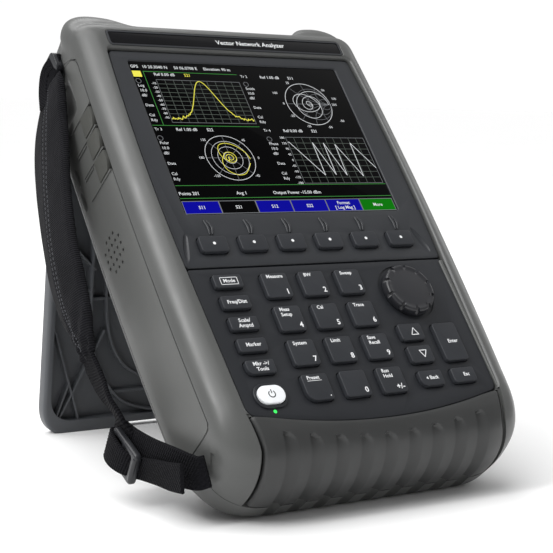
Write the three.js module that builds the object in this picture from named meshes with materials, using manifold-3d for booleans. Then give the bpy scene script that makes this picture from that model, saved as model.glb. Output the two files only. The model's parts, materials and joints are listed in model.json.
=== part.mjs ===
// Handheld vector network analyzer, standing on its fold-out tilt stand. Millimetres, +Z up.
//
// Everything on the instrument is laid out in the case frame: x to the user's right, y up the face,
// z out of the face, with its origin at the middle of the display. The case group leans that frame
// back and sets it down, so that the rear heel and the foot of the stand both rest on z = 0.

import * as THREE from "three";
import { mergeVertices } from "three/addons/utils/BufferGeometryUtils.js";
import Module from "manifold-3d";

const wasm = await Module();
wasm.setup();

// ---------------------------------------------------------------- driving dimensions

const LEAN = 41; // degrees that the face leans back from upright
const GAP = 0.3; // parting line between neighbouring pieces

const CASE = {
  centreX: 0.8,
  half: 93.5, // half of the width at the waist
  shoulder: 91, // half of the width at the top and bottom
  top: 79,
  bottom: -197,
  topCorner: 10,
  bottomCorner: 32,
  front: 2,
  rear: -60,
};
const EDGE = { side: 14, top: 11.5, bottom: 25, bottomDepth: 30 }; // front edge roundings
const HORN = { top: 95, inner: 46, front: -5, rear: -52 };
const HEEL = { y: -195.5, z: -44, width: 6 }; // flat strip under the rear edge that rests on the floor
const SEAM = { front: -9.3, corner: -31, cornerTop: -161, rear: -50 };
const WALL = { outer: 2, inner: 4.2 };

const PANEL = { left: -79.2, right: 81, top: 56.5, bottom: -172.2, side: -164, floor: -3 };
const GROOVE_Y = -82.2; // between the display bezel and the keypad panel
const SCREEN = { halfW: 66.25, halfH: 49.7, depth: -2 };
const STRIP = { left: -74.5, right: 76, bottom: 58.9, top: 69.2 };

const KEY = { proud: 2.3, root: -5, travel: 1.2, clearance: 0.35 };
const NUMBER = { w: 14.8, h: 14.2, x: -31.9, y: -95.3, pitchX: 22.25, pitchY: 19.4 };
const FUNCTION = { w: 15.8, h: 7.3, r: 1.6, x: -58.7, y: -91.5, pitchY: 12.1 };
const SOFT = { w: 15.6, h: 9.2, r: 1.4, x: -58.5, y: -69.4, pitchX: 23.15 };
const KNOB = { x: 46.4, y: -102.8, r: 14.6, top: 5.2, shaft: 3, notches: 10, notchR: 1.3 };

const STAND = {
  pivotY: 60,
  pivotZ: -65,
  open: 46, // degrees between the open plate and the back of the case
  half: 82,
  thick: 8.6,
  corner: 19,
  footLift: 2.6, // arch between the two feet
};
const FLAP = { rows: [28.5, 14.3, 0.1, -14.1], front: -9.6, rear: -22.5 };
const BAY_DEPTH = 7; // port bay behind the flaps
const SPEAKER = { x: -84, y: -49, z: -33, r: 8.6, depth: 5, holeR: 0.9, pitch: 4.4 };
const PORT = { sites: [-24, 27], z: -29, r: 7.9, top: 94, flange: 22, bore: 4.05, contact: 1.6 };
const PLATE = { x: 1.5, z: -29, w: 78.2, h: 29.2, bottom: 75.2, top: 77.6 };
const DOOR = { top: -78, bottom: -152, front: -14, rear: -45 };
const STRAP = { thick: 2.2, width: 22, turn: 37, slot: [-91.8, -176, -22.5], slotSize: [7, 4, 25] };

// ---------------------------------------------------------------- solids

function solidOf(geometry) {
  const plain = geometry.index ? geometry.toNonIndexed() : geometry.clone();
  plain.deleteAttribute("normal");
  plain.deleteAttribute("uv");
  const merged = mergeVertices(plain, 1e-3);
  return new wasm.Manifold(
    new wasm.Mesh({
      numProp: 3,
      vertProperties: merged.attributes.position.array,
      triVerts: new Uint32Array(merged.index.array),
    }),
  );
}

function geometryOf(solid) {
  const mesh = solid.getMesh();
  const geometry = new THREE.BufferGeometry();
  geometry.setAttribute("position", new THREE.BufferAttribute(mesh.vertProperties, 3));
  geometry.setIndex(new THREE.BufferAttribute(mesh.triVerts, 1));
  geometry.computeVertexNormals();
  return geometry;
}

function piece(group, name, shape, color, roughness = 0.6, metalness = 0) {
  const geometry = shape.isBufferGeometry ? shape : geometryOf(shape);
  const material = new THREE.MeshStandardMaterial({ color, roughness, metalness });
  const mesh = new THREE.Mesh(geometry, material);
  mesh.name = name;
  group.add(mesh);
  return mesh;
}

// A block between two corners.
function block(x0, x1, y0, y1, z0, z1) {
  const box = new THREE.BoxGeometry(x1 - x0, y1 - y0, z1 - z0);
  return solidOf(box.translate((x0 + x1) / 2, (y0 + y1) / 2, (z0 + z1) / 2));
}

// A prism along z, with both rims chamfered or rounded by `bevel` inside its outline.
function prism(shape, z0, z1, bevel = 0, steps = 1, curveSegments = 4) {
  const geometry = new THREE.ExtrudeGeometry(shape, {
    depth: z1 - z0 - 2 * bevel,
    bevelEnabled: bevel > 0,
    bevelThickness: bevel,
    bevelSize: bevel,
    bevelOffset: -bevel,
    bevelSegments: steps,
    curveSegments,
  });
  return solidOf(geometry.translate(0, 0, z0 + bevel));
}

// A prism along x, whose outline is given as (y, z) points.
function sidePrism(points, x0, x1) {
  const shape = new THREE.Shape(points.map(([y, z]) => new THREE.Vector2(y, z)));
  const geometry = new THREE.ExtrudeGeometry(shape, { depth: x1 - x0, bevelEnabled: false });
  const turned = new THREE.Matrix4().set(0, 0, 1, 0, 1, 0, 0, 0, 0, 1, 0, 0, 0, 0, 0, 1);
  return solidOf(geometry.applyMatrix4(turned).translate(x0, 0, 0));
}

// A closed skin over a row of outlines with the same number of points each.
function loft(sections) {
  const count = sections[0].length;
  const position = sections.flat().flatMap((point) => [point.x, point.y, point.z]);
  const index = [];
  for (let row = 0; row + 1 < sections.length; row++)
    for (let i = 0; i < count; i++) {
      const a = row * count + i;
      const b = row * count + ((i + 1) % count);
      index.push(a, b, a + count, b, b + count, a + count);
    }
  const last = (sections.length - 1) * count;
  for (let i = 1; i + 1 < count; i++) {
    index.push(0, i + 1, i);
    index.push(last, last + i, last + i + 1);
  }
  const geometry = new THREE.BufferGeometry();
  geometry.setAttribute("position", new THREE.Float32BufferAttribute(position, 3));
  geometry.setIndex(index);
  const solid = solidOf(geometry);
  if (solid.volume() > 0) return solid;
  geometry.setIndex(index.reverse());
  return solidOf(geometry);
}

function roundedRect(x, y, w, h, r) {
  const shape = new THREE.Shape();
  const [x0, x1, y0, y1] = [x - w / 2, x + w / 2, y - h / 2, y + h / 2];
  shape.moveTo(x0 + r, y0).lineTo(x1 - r, y0);
  shape.absarc(x1 - r, y0 + r, r, -Math.PI / 2, 0);
  shape.lineTo(x1, y1 - r).absarc(x1 - r, y1 - r, r, 0, Math.PI / 2);
  shape.lineTo(x0 + r, y1).absarc(x0 + r, y1 - r, r, Math.PI / 2, Math.PI);
  shape.lineTo(x0, y0 + r).absarc(x0 + r, y0 + r, r, Math.PI, Math.PI * 1.5);
  return shape;
}

function disc(x, y, r) {
  return new THREE.Shape().absarc(x, y, r, 0, Math.PI * 2);
}

// Points around a circle, as an outline for sidePrism.
function circlePoints(y, z, r, count) {
  const points = [];
  for (let i = 0; i < count; i++) {
    const angle = (i / count) * Math.PI * 2;
    points.push([y + r * Math.cos(angle), z + r * Math.sin(angle)]);
  }
  return points;
}

// ---------------------------------------------------------------- outer form of the case

// How far a quarter-round of radius r, ending at the front face, draws the outline in at depth z.
function rounding(z, r, depth = r) {
  const along = Math.min(Math.max((z - (CASE.front - depth)) / depth, 0), 1);
  return r * (1 - Math.sqrt(1 - along * along));
}

function caseOutline(side, top, bottom, z) {
  const waist = CASE.half - side;
  const shoulder = CASE.shoulder - side;
  const pull = 2 * waist - shoulder;
  const [y0, y1] = [CASE.bottom + bottom, CASE.top - top];
  const low = CASE.bottomCorner + (z > -30 ? -0.4 : 0.7) * bottom;
  const high = CASE.topCorner;
  const shape = new THREE.Shape();
  shape.moveTo(shoulder - high, y1);
  shape.lineTo(-(shoulder - high), y1);
  shape.quadraticCurveTo(-shoulder, y1, -shoulder, y1 - high);
  shape.quadraticCurveTo(-pull, (y0 + y1) / 2, -shoulder, y0 + low);
  shape.quadraticCurveTo(-shoulder, y0, -(shoulder - low), y0);
  shape.lineTo(shoulder - low, y0);
  shape.quadraticCurveTo(shoulder, y0, shoulder, y0 + low);
  shape.quadraticCurveTo(pull, (y0 + y1) / 2, shoulder, y1 - high);
  shape.quadraticCurveTo(shoulder, y1, shoulder - high, y1);
  const points = shape.getPoints(5).slice(0, -1);
  return points.map((point) => new THREE.Vector3(point.x + CASE.centreX, point.y, z));
}

// Draw-in of the sides, the top and the bottom behind the widest part, from the front to the rear.
const leanAngle = THREE.MathUtils.degToRad(LEAN);
const heelInset = HEEL.y - CASE.bottom;
const REAR_FORM = [
  [-40, 0, 0, 0],
  [HEEL.z, 0, 0, heelInset],
  [HEEL.z - HEEL.width, 0.4, 0.5, heelInset + HEEL.width * Math.tan(leanAngle)],
  [-56, 3.5, 4, 15],
  [CASE.rear, 10, 10, 27],
];

// The case's outer form, or a smaller copy of it for hollowing it out.
function caseForm(inset = 0) {
  const front = [2, 0.4, -2, -5.5, -10, -16, -22, -28].map((z) => [
    z,
    rounding(z, EDGE.side),
    rounding(z, EDGE.top),
    rounding(z, EDGE.bottom, EDGE.bottomDepth),
  ]);
  const squeeze = (z) => (z > -25 ? z - inset : z + inset);
  const rows = [...front, ...REAR_FORM].map(([z, side, top, bottom]) =>
    caseOutline(side + inset, top + inset, bottom + inset, squeeze(z)),
  );
  return loft(rows);
}

// A corner horn, rising past the top edge on one side to guard the connectors. Each row gives its
// depth, how far it rises, how far its outer shoulder is drawn in, and its inner flank.
function horn(side, inset = 0) {
  const { top, inner, front, rear } = HORN;
  const rise = top - CASE.top;
  const base = CASE.top - inset;
  const row = (z, lift, drawn, flank) => {
    const inside = flank + inset;
    const outside = CASE.shoulder - inset - drawn;
    return [
      [inside, 66],
      [inside, base],
      [inside + 6, base + lift * 0.33],
      [inside + 13, base + lift * 0.84],
      [inside + 19, base + lift],
      [outside - 13, base + lift],
      [outside - 5, base - 2 + lift * 0.82],
      [outside, base - 8 + lift * 0.5],
      [outside, 60],
      [inside + 12, 60],
    ].map(([x, y]) => new THREE.Vector3(side * x + CASE.centreX, y, z));
  };
  return loft([
    row(front - inset, rise * 0.12, 5, inner),
    row(-8 - inset, rise * 0.45, 1.6, inner + 1),
    row(-13 - inset, rise * 0.78, 0.2, inner + 3),
    row(-19 - inset, rise, 0.6, inner + 5),
    row(-25 - inset, rise * 0.97, 3, inner + 6),
    row(rear + 6 + inset, rise * 0.8, 4.5, inner + 6),
    row(rear + inset, rise * 0.55, 7, inner + 7),
  ]);
}

// Recess at the rear of the left side, where the strap's upper bracket sits.
const strapRecess = (grow) => block(-130, -88.6 + grow, 36 - grow, 86 + grow, -64, -24 + grow);

const outer = caseForm().add(horn(-1)).add(horn(1)).subtract(strapRecess(0));
const middle = caseForm(WALL.outer).add(horn(-1, WALL.outer)).add(horn(1, WALL.outer));
const middleWithGap = caseForm(WALL.outer + GAP);
const hollow = caseForm(WALL.inner);
const shell = outer.subtract(hollow);

// Front part of the case: all of the face, and the lower corners further back.
function frontRegion(extra) {
  const { front, corner, cornerTop } = SEAM;
  const profile = [
    [120, front - extra],
    [cornerTop + extra, front - extra],
    [cornerTop - 3 + extra, front - 5 - extra],
    [cornerTop - 5 + extra, corner - extra],
    [-220, corner - extra],
    [-220, 20],
    [120, 20],
  ];
  return sidePrism(profile, -120, 120);
}

function panelOutline(grow = 0) {
  const { left, right, top, bottom, side } = PANEL;
  const shape = new THREE.Shape();
  const [x0, x1, y1] = [left - grow, right + grow, top + grow];
  shape.moveTo(x0 + 4, y1).lineTo(x1 - 5, y1);
  shape.quadraticCurveTo(x1 - 3, y1, x1 - 2.5, y1 - 5);
  shape.quadraticCurveTo(x1 + 2, -20, x1 - 1.5, GROOVE_Y);
  shape.lineTo(x1 - 4, side + 3).quadraticCurveTo(x1 - 4, side - grow, x1 - 9, side - 0.6 - grow);
  const middleX = (x0 + x1) / 2;
  shape.quadraticCurveTo(middleX, 2 * bottom - side - grow, x0 + 9, side - 0.6 - grow);
  shape.quadraticCurveTo(x0 + 5, side - grow, x0 + 5, side + 3);
  shape.lineTo(x0 + 1.5, GROOVE_Y).quadraticCurveTo(x0 - 1.5, -20, x0 + 3, y1 - 5);
  shape.quadraticCurveTo(x0 + 3.5, y1, x0 + 4, y1);
  return shape;
}

// Outline of the fluted bumper under the keypad, seen from the front.
function bumperOutline(grow) {
  const top = PANEL.side - 1 + grow;
  const shape = new THREE.Shape();
  shape.moveTo(-74.5 - grow, top).lineTo(-71.5 - grow, -181).lineTo(-74 - grow, -215);
  shape.lineTo(75.6 + grow, -215).lineTo(73.1 + grow, -181).lineTo(76.1 + grow, top);
  return shape;
}

// ---------------------------------------------------------------- case pieces

const analyzer = new THREE.Group();
const caseGroup = new THREE.Group();
caseGroup.rotation.x = THREE.MathUtils.degToRad(90 - LEAN);
analyzer.add(caseGroup);

const GREY = 0x6f706d;
const DARK = 0x3a3c40;
const BLACK = 0x1b1c1f;

// Front-bottom bumper, set into the same skin as the frame.
const bumperRegion = (grow) =>
  prism(bumperOutline(grow), SEAM.corner - grow, 10).subtract(prism(panelOutline(GAP - grow), -12, 12));
const bumper = outer.subtract(caseForm(WALL.outer)).intersect(bumperRegion(0));
piece(caseGroup, "bottom_bumper", bumper, 0x4b4b4b, 0.75);

function stripOutline(grow) {
  const { left, right, bottom, top } = STRIP;
  const [w, h] = [right - left + 2 * grow, top - bottom + 2 * grow];
  return roundedRect((left + right) / 2, (bottom + top) / 2, w, h, 2 + grow);
}
const stripPocket = prism(stripOutline(GAP), 1, 5);
const bumperSeat = bumperRegion(GAP).subtract(middleWithGap);
const slotTurn = THREE.MathUtils.degToRad(-STRAP.turn);
const strapSlot = solidOf(
  new THREE.BoxGeometry(...STRAP.slotSize).rotateX(slotTurn).translate(...STRAP.slot),
);
const frontFrame = shell
  .intersect(frontRegion(0))
  .subtract(prism(panelOutline(GAP), PANEL.floor - 6, 10))
  .subtract(bumperSeat)
  .subtract(stripPocket)
  .subtract(strapSlot);
piece(caseGroup, "front_frame", frontFrame, GREY, 0.5);

const backOfFront = block(-130, 130, -230, 130, SEAM.rear, 30).subtract(frontRegion(GAP));

function sideRegion(side, grow) {
  const y = [-158 - grow, 56 + grow];
  const z = [SEAM.rear + GAP + 0.3 - grow, SEAM.front - GAP - 0.3 + grow];
  const profile = [
    [y[0], z[1] - 12],
    [y[0], z[0]],
    [y[1] - 8, z[0]],
    [y[1], z[0] + 14],
    [y[1], z[1] - 4],
    [y[1] - 4, z[1]],
    [y[0] + 4, z[1]],
  ];
  return side < 0 ? sidePrism(profile, -120, -70) : sidePrism(profile, 70, 120);
}

const flapRegion = (row, grow) => {
  const [top, bottom] = [FLAP.rows[row] + grow, FLAP.rows[row + 1] + 0.5 - grow];
  return block(-120, -70, bottom, top, FLAP.rear - grow, FLAP.front + grow);
};
const [bayBottom, bayTop] = [FLAP.rows[3] + 2.5, FLAP.rows[0] - 2];
const [bayRear, bayFront] = [FLAP.rear + 1.5, FLAP.front - 3];
const bayFloor = -CASE.half + WALL.outer + BAY_DEPTH;
const portBay = block(-120, bayFloor, bayBottom, bayTop, bayRear, bayFront);
const bayWalls = block(-91, bayFloor + 2.3, bayBottom - 3.5, bayTop + 3.5, bayRear - 3, bayFront + 1.5);
const doorRegion = (grow) =>
  block(70, 120, DOOR.bottom - grow, DOOR.top + grow, DOOR.rear - grow, DOOR.front + grow);

// Main housing: inner wall of the case, with seats for the side panels, the horns and the port bay.
const skin = outer.subtract(middle);
const sideSeats = sideRegion(-1, GAP).add(sideRegion(1, GAP)).subtract(middleWithGap);
const connectorSlot = block(-38, 41, 73, 90, -44, -14);
const speakerHole = sidePrism(circlePoints(SPEAKER.y, SPEAKER.z, SPEAKER.r + 0.4, 12), -120, -80);
const batteryMouth = doorRegion(-3);
const housing = shell
  .add(bayWalls.intersect(caseForm(1)))
  .intersect(backOfFront)
  .subtract(sideSeats)
  .subtract(portBay)
  .subtract(connectorSlot)
  .subtract(speakerHole)
  .subtract(batteryMouth)
  .subtract(strapSlot);
piece(caseGroup, "main_housing", housing, GREY, 0.55);

// Side panels, with the three port flaps on the left and the battery door on the right.
let leftPanel = skin.intersect(sideRegion(-1, 0)).subtract(strapRecess(GAP));
for (let row = 0; row < 3; row++) leftPanel = leftPanel.subtract(flapRegion(row, GAP));
for (let i = -2; i <= 2; i++)
  for (let j = -2; j <= 2; j++) {
    if (Math.abs(i) + Math.abs(j) > 3) continue;
    const [y, z] = [SPEAKER.y + i * SPEAKER.pitch, SPEAKER.z + j * SPEAKER.pitch];
    leftPanel = leftPanel.subtract(sidePrism(circlePoints(y, z, SPEAKER.holeR, 6), -120, -80));
  }
piece(caseGroup, "side_panel_left", leftPanel, GREY, 0.55);
const rightPanel = skin.intersect(sideRegion(1, 0)).subtract(doorRegion(GAP));
piece(caseGroup, "side_panel_right", rightPanel, GREY, 0.55);

for (let row = 0; row < 3; row++) {
  const lid = skin.intersect(sideRegion(-1, 0)).intersect(flapRegion(row, 0));
  piece(caseGroup, `port_flap_${row + 1}`, lid, 0x5a5b58, 0.6);
}
const batteryDoor = skin.intersect(sideRegion(1, 0)).intersect(doorRegion(0));
piece(caseGroup, "battery_door", batteryDoor, GREY, 0.55);

// Rear cover, with the two stand brackets.
const lugs = [-1, 1].map((side) => {
  const x = CASE.centreX + side * 58;
  const cheek = [
    [STAND.pivotY - 6, CASE.rear + 1],
    [STAND.pivotY - 4.5, STAND.pivotZ - 1.5],
    [STAND.pivotY - 2, STAND.pivotZ - 4],
    [STAND.pivotY + 2, STAND.pivotZ - 4],
    [STAND.pivotY + 4.5, STAND.pivotZ - 1.5],
    [STAND.pivotY + 6, CASE.rear + 1],
  ];
  return sidePrism(cheek, x - 6, x + 6);
});
const pinHole = sidePrism(circlePoints(STAND.pivotY, STAND.pivotZ, 2.1, 8), -90, 90);
const rearCover = outer
  .subtract(caseForm(3))
  .intersect(block(-130, 130, -230, 130, -80, SEAM.rear - GAP))
  .add(lugs[0])
  .add(lugs[1])
  .subtract(pinHole);
piece(caseGroup, "rear_cover", rearCover, DARK, 0.6);
const pin = new THREE.CylinderGeometry(1.8, 1.8, 148, 8).rotateZ(Math.PI / 2).rotateX(Math.PI / 8);
pin.translate(CASE.centreX, STAND.pivotY, STAND.pivotZ);
piece(caseGroup, "stand_pin", pin, 0xb0b2b5, 0.3, 1);

// ---------------------------------------------------------------- face

const bezelTop = block(-100, 100, GROOVE_Y + 0.4, 70, PANEL.floor, 0);
const screenHole = (grow, z0, z1) =>
  prism(roundedRect(0, 0, 2 * (SCREEN.halfW + grow), 2 * (SCREEN.halfH + grow), 1.2), z0, z1);
let bezel = prism(panelOutline(), PANEL.floor, 0)
  .intersect(bezelTop)
  .subtract(screenHole(GAP, SCREEN.depth, 5))
  .subtract(screenHole(-2, -6, 5));
piece(caseGroup, "display_window", screenHole(0, SCREEN.depth + 0.3, -0.6), 0x050607, 0.1);
piece(caseGroup, "lcd_module", block(-70, 70, -54, 54, -11, PANEL.floor - 0.3), 0x202224, 0.4);
piece(caseGroup, "name_strip", prism(stripOutline(0), 1 + GAP, CASE.front - 0.2), BLACK, 0.3);

// ---------------------------------------------------------------- keys and knob

const keys = [];
const addKey = (name, x, y, { w, h, r = 2 }, color = BLACK) =>
  keys.push({ name, x, y, w, h, r, color });

for (let i = 0; i < 6; i++) addKey(`softkey_${i + 1}`, SOFT.x + i * SOFT.pitchX, SOFT.y, SOFT);
for (let i = 0; i < 5; i++)
  addKey(`function_key_${i + 1}`, FUNCTION.x, FUNCTION.y - i * FUNCTION.pitchY, FUNCTION);
const digits = [
  ["key_1", "key_2", "key_3"],
  ["key_4", "key_5", "key_6"],
  ["key_7", "key_8", "key_9"],
  ["key_point", "key_0", "key_sign"],
];
digits.forEach((row, r) =>
  row.forEach((name, c) =>
    addKey(name, NUMBER.x + c * NUMBER.pitchX, NUMBER.y - r * NUMBER.pitchY, NUMBER),
  ),
);
addKey("key_up", 37, -127.4, { w: 14.4, h: 9.6 });
addKey("key_down", 37, -140.6, { w: 14.4, h: 9.6 });
addKey("key_enter", 58.9, -134.8, { w: 14.6, h: 22.3 });
addKey("key_back", 37, -154.7, { w: 14.4, h: 8.6 });
addKey("key_escape", 58.1, -154.6, { w: 14.6, h: 8.2 });
addKey("power_key", -58.6, -154.9, { w: 15.8, h: 9, r: 4.4 }, 0xe6e7ea);

const keyShape = (key, grow) =>
  roundedRect(key.x, key.y, key.w + 2 * grow, key.h + 2 * grow, key.r + grow);

let keypad = prism(panelOutline(), PANEL.floor, 0).intersect(
  block(-100, 100, -190, GROOVE_Y - 0.4, PANEL.floor - 1, 1),
);
for (const key of keys) {
  const arcs = key.r > 3 ? 3 : 1;
  const cap = prism(keyShape(key, 0), KEY.root, KEY.proud, 0.7, 1, arcs);
  piece(caseGroup, key.name, cap, key.color, 0.55);
  const hole = prism(keyShape(key, KEY.clearance), -6, 4, 0, 1, arcs);
  if (key.y < GROOVE_Y) keypad = keypad.subtract(hole);
  else bezel = bezel.subtract(hole);
}
const shaftHole = prism(disc(KNOB.x, KNOB.y, KNOB.shaft + 0.6), -6, 4);
piece(caseGroup, "display_bezel", bezel, DARK, 0.45);
piece(caseGroup, "keypad_panel", keypad.subtract(shaftHole), DARK, 0.5);

// Rotary knob: a notched cap on a shaft, with the encoder behind it.
const knobProfile = [
  [0, 0.4],
  [KNOB.r, 0.4],
  [KNOB.r - 0.2, 3],
  [KNOB.r - 0.5, KNOB.top - 0.5],
  [KNOB.r - 1.1, KNOB.top],
  [KNOB.r - 2.6, KNOB.top - 0.2],
  [0, KNOB.top - 0.6],
].map(([r, z]) => new THREE.Vector2(r, z));
const shaft = new THREE.CylinderGeometry(KNOB.shaft, KNOB.shaft, 11, 12).rotateX(Math.PI / 2);
let knob = solidOf(new THREE.LatheGeometry(knobProfile, 36).rotateX(Math.PI / 2));
knob = knob.add(solidOf(shaft.translate(0, 0, -3.5)));
for (let i = 0; i < KNOB.notches; i++) {
  const angle = (i / KNOB.notches) * Math.PI * 2;
  const reach = KNOB.r - KNOB.notchR / 2;
  const notch = disc(reach * Math.cos(angle), reach * Math.sin(angle), KNOB.notchR);
  knob = knob.subtract(prism(notch, 1.6, 20, 0, 1, 6));
}
const knobMesh = piece(caseGroup, "knob", knob, BLACK, 0.5);
knobMesh.position.set(KNOB.x, KNOB.y, 0);

// ---------------------------------------------------------------- inside

const keypadBoard = block(-76, 78, -162, -60, -9.2, -7.2).subtract(
  prism(disc(KNOB.x, KNOB.y, 7), -20, 0),
);
piece(caseGroup, "keypad_board", keypadBoard, 0x2f6b46, 0.6);
const encoder = prism(roundedRect(KNOB.x, KNOB.y, 12.4, 12.4, 1), -15.6, -9.6, 0, 1, 1);
piece(caseGroup, "rotary_encoder", encoder, 0x8b8d8f, 0.4, 0.8);
piece(caseGroup, "main_board", block(-74, 76, -150, 60, -33, -31.4), 0x2a5f3e, 0.6);
piece(caseGroup, "rf_module", block(-62, 64, -62, 56, -30.9, -19), 0xa9abad, 0.35, 0.9);
piece(caseGroup, "battery_pack", block(6, 80, -146, -84, -30.9, -17), 0x2b2c2e, 0.6);
const speaker = new THREE.CylinderGeometry(SPEAKER.r, SPEAKER.r, SPEAKER.depth, 16);
speaker.rotateZ(Math.PI / 2).translate(SPEAKER.x, SPEAKER.y, SPEAKER.z);
piece(caseGroup, "speaker", speaker, 0x303133, 0.5);

// ---------------------------------------------------------------- top connectors

const upright = new THREE.Matrix4().makeRotationX(-Math.PI / 2);
function upPrism(shape, y0, y1, curveSegments = 4) {
  const solid = prism(shape, y0, y1, 0, 1, curveSegments);
  return solidOf(geometryOf(solid).applyMatrix4(upright));
}
// The sketch that upPrism stands up has -z of the case as its y.
const plateSketch = roundedRect(PLATE.x, -PLATE.z, PLATE.w, PLATE.h, 2);
let connectorPlate = upPrism(plateSketch, PLATE.bottom, PLATE.top);
for (const x of PORT.sites) {
  const portHole = upPrism(disc(x, -PORT.z, PORT.r + GAP), 60, 90, 8);
  connectorPlate = connectorPlate.subtract(portHole);
}
piece(caseGroup, "connector_plate", connectorPlate, 0x2c2d30, 0.5);
PORT.sites.forEach((x, i) => {
  const barrel = upPrism(disc(x, -PORT.z, PORT.r), 70, PORT.top, 8);
  const flange = upPrism(
    roundedRect(x, -PORT.z, PORT.flange, PORT.flange, 3),
    PLATE.top + GAP,
    PLATE.top + GAP + 2.2,
    2,
  );
  const bore = upPrism(disc(x, -PORT.z, PORT.bore), 84, 99, 6);
  const contact = upPrism(disc(x, -PORT.z, PORT.contact), 82, 91, 4);
  const port = barrel.add(flange).subtract(bore).add(contact);
  piece(caseGroup, `rf_port_${i + 1}`, port, 0xc9c6bd, 0.25, 1);
});

// ---------------------------------------------------------------- carrying strap

// A flat band through [x, y, z, width] stations, its width leaning by `turn` degrees from z.
function band(stations, thick, turn = 0, margin = 0) {
  const lean = THREE.MathUtils.degToRad(turn);
  const across = new THREE.Vector3(0, Math.sin(lean), Math.cos(lean));
  const sections = stations.map(([x, y, z, width], i) => {
    const before = stations[Math.max(i - 1, 0)];
    const after = stations[Math.min(i + 1, stations.length - 1)];
    const along = new THREE.Vector3(after[0] - before[0], after[1] - before[1], after[2] - before[2]);
    const out = new THREE.Vector3().crossVectors(along, across).normalize();
    const centre = new THREE.Vector3(x, y, z);
    const [w, t] = [width / 2 + margin, thick / 2 + margin];
    const rim = Math.min(t * 0.6, 1.6);
    return [
      [w - rim, t],
      [-w + rim, t],
      [-w, t - rim],
      [-w, -t + rim],
      [-w + rim, -t],
      [w - rim, -t],
      [w, -t + rim],
      [w, t - rim],
    ].map(([a, b]) => centre.clone().addScaledVector(across, a).addScaledVector(out, b));
  });
  return loft(sections);
}

const PAD_ROUTE = [
  [-93.8, 63, -33, 22],
  [-94.6, 55, -35, 28],
  [-96.8, 42, -38.5, 34],
  [-100.2, 22, -43, 37],
  [-104.2, 2, -47, 38],
  [-108, -19, -50, 38],
  [-111.2, -42, -51, 38],
  [-112.2, -64, -51, 37],
  [-111.4, -82, -52, 33],
  [-110.2, -91, -53, 26],
];
const HANGING = [
  [-109.6, -93, -54, STRAP.width],
  [-107.6, -106, -58.5, STRAP.width],
  [-104.4, -122, -62.5, STRAP.width],
  [-102.2, -138, -65.5, STRAP.width],
];
const RETURNING = [
  [-102.4, -138, -69, STRAP.width],
  [-101.6, -147, -61.5, STRAP.width],
  [-99.8, -158, -49, STRAP.width],
  [-97.8, -169, -35.5, STRAP.width],
  [-96.2, -175.5, -27, STRAP.width],
];
piece(caseGroup, "strap_pad", band(PAD_ROUTE, 5.6), 0x26272a, 0.9);
const webbing = (margin) => {
  const hanging = band(HANGING, STRAP.thick, 0, margin);
  return hanging.add(band(RETURNING, STRAP.thick, STRAP.turn, margin));
};
piece(caseGroup, "strap_webbing", webbing(0), 0x17181a, 0.95);
const buckleFrame = new THREE.BoxGeometry(7, 12, 29).rotateX(-0.33).translate(-102, -143, -65);
piece(caseGroup, "strap_buckle", solidOf(buckleFrame).subtract(webbing(0.4)), 0x2d2e31, 0.4);
const anchorSlot = block(-92.2, -90.3, 60, 73.5, -36.5, -26.6);
const anchor = block(-93.4, -88.9, 64.5, 77, -38.5, -24.6).subtract(anchorSlot);
piece(caseGroup, "strap_anchor", anchor, 0x4a4b4c, 0.5);

// ---------------------------------------------------------------- tilt stand

const standGroup = new THREE.Group();
standGroup.position.set(CASE.centreX, STAND.pivotY, STAND.pivotZ);
standGroup.rotation.x = THREE.MathUtils.degToRad(STAND.open);
caseGroup.add(standGroup);

// Length of the open plate from its pivot to the floor.
const [rise, run] = [STAND.pivotY - HEEL.y, STAND.pivotZ - HEEL.z];
const pivotHeight = rise * Math.cos(leanAngle) + run * Math.sin(leanAngle);
const plateTilt = THREE.MathUtils.degToRad(STAND.open - LEAN);

function standPlate() {
  const { half, thick, corner, footLift } = STAND;
  const reach = pivotHeight / Math.cos(plateTilt);
  const end = -reach - 2;
  const arch = -reach + footLift;
  const shape = new THREE.Shape();
  shape.moveTo(-half, -14).lineTo(-half, end + corner);
  shape.quadraticCurveTo(-half, end, -half + corner, end);
  shape.lineTo(-34, end).lineTo(-26, arch).lineTo(26, arch).lineTo(34, end);
  shape.lineTo(half - corner, end).quadraticCurveTo(half, end, half, end + corner);
  shape.lineTo(half, -14).lineTo(half - 8, -7).lineTo(-half + 8, -7).lineTo(-half, -14);
  let body = prism(shape, -thick / 2, thick / 2, 1.2);
  const foot = sidePrism(
    [
      [-reach - 20, -40],
      [-reach - 20, 40],
      [-reach + 40 * Math.tan(plateTilt), 40],
      [-reach - 40 * Math.tan(plateTilt), -40],
    ],
    -120,
    120,
  );
  const pocket = (x0, x1, y0, y1) => block(x0, x1, y0, y1, -thick / 2 + 2.6, 20);
  body = body.subtract(foot);
  for (const side of [-1, 1]) {
    const [near, far] = side < 0 ? [-half + 4, -5] : [5, half - 4];
    body = body.subtract(pocket(near, far, -reach + 60, -20));
    body = body.subtract(pocket(near, far, -reach + 12, -reach + 56));
  }
  for (const side of [-1, 1]) {
    const barrel = new THREE.CylinderGeometry(4.2, 4.2, 10, 12).rotateZ(Math.PI / 2);
    body = body.add(solidOf(barrel.translate(side * 46, 0, 0)));
    body = body.add(block(side * 46 - 5, side * 46 + 5, -9, 0, -4.2, 0));
  }
  return body.subtract(sidePrism(circlePoints(0, 0, 2.1, 8), -90, 90));
}
piece(standGroup, "tilt_stand", standPlate(), 0x4f5154, 0.6);

// ---------------------------------------------------------------- set down on the floor

const bounds = new THREE.Box3().setFromObject(analyzer, true);
analyzer.position.set(
  -(bounds.min.x + bounds.max.x) / 2,
  -(bounds.min.y + bounds.max.y) / 2,
  -bounds.min.z,
);

export default analyzer;
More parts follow.
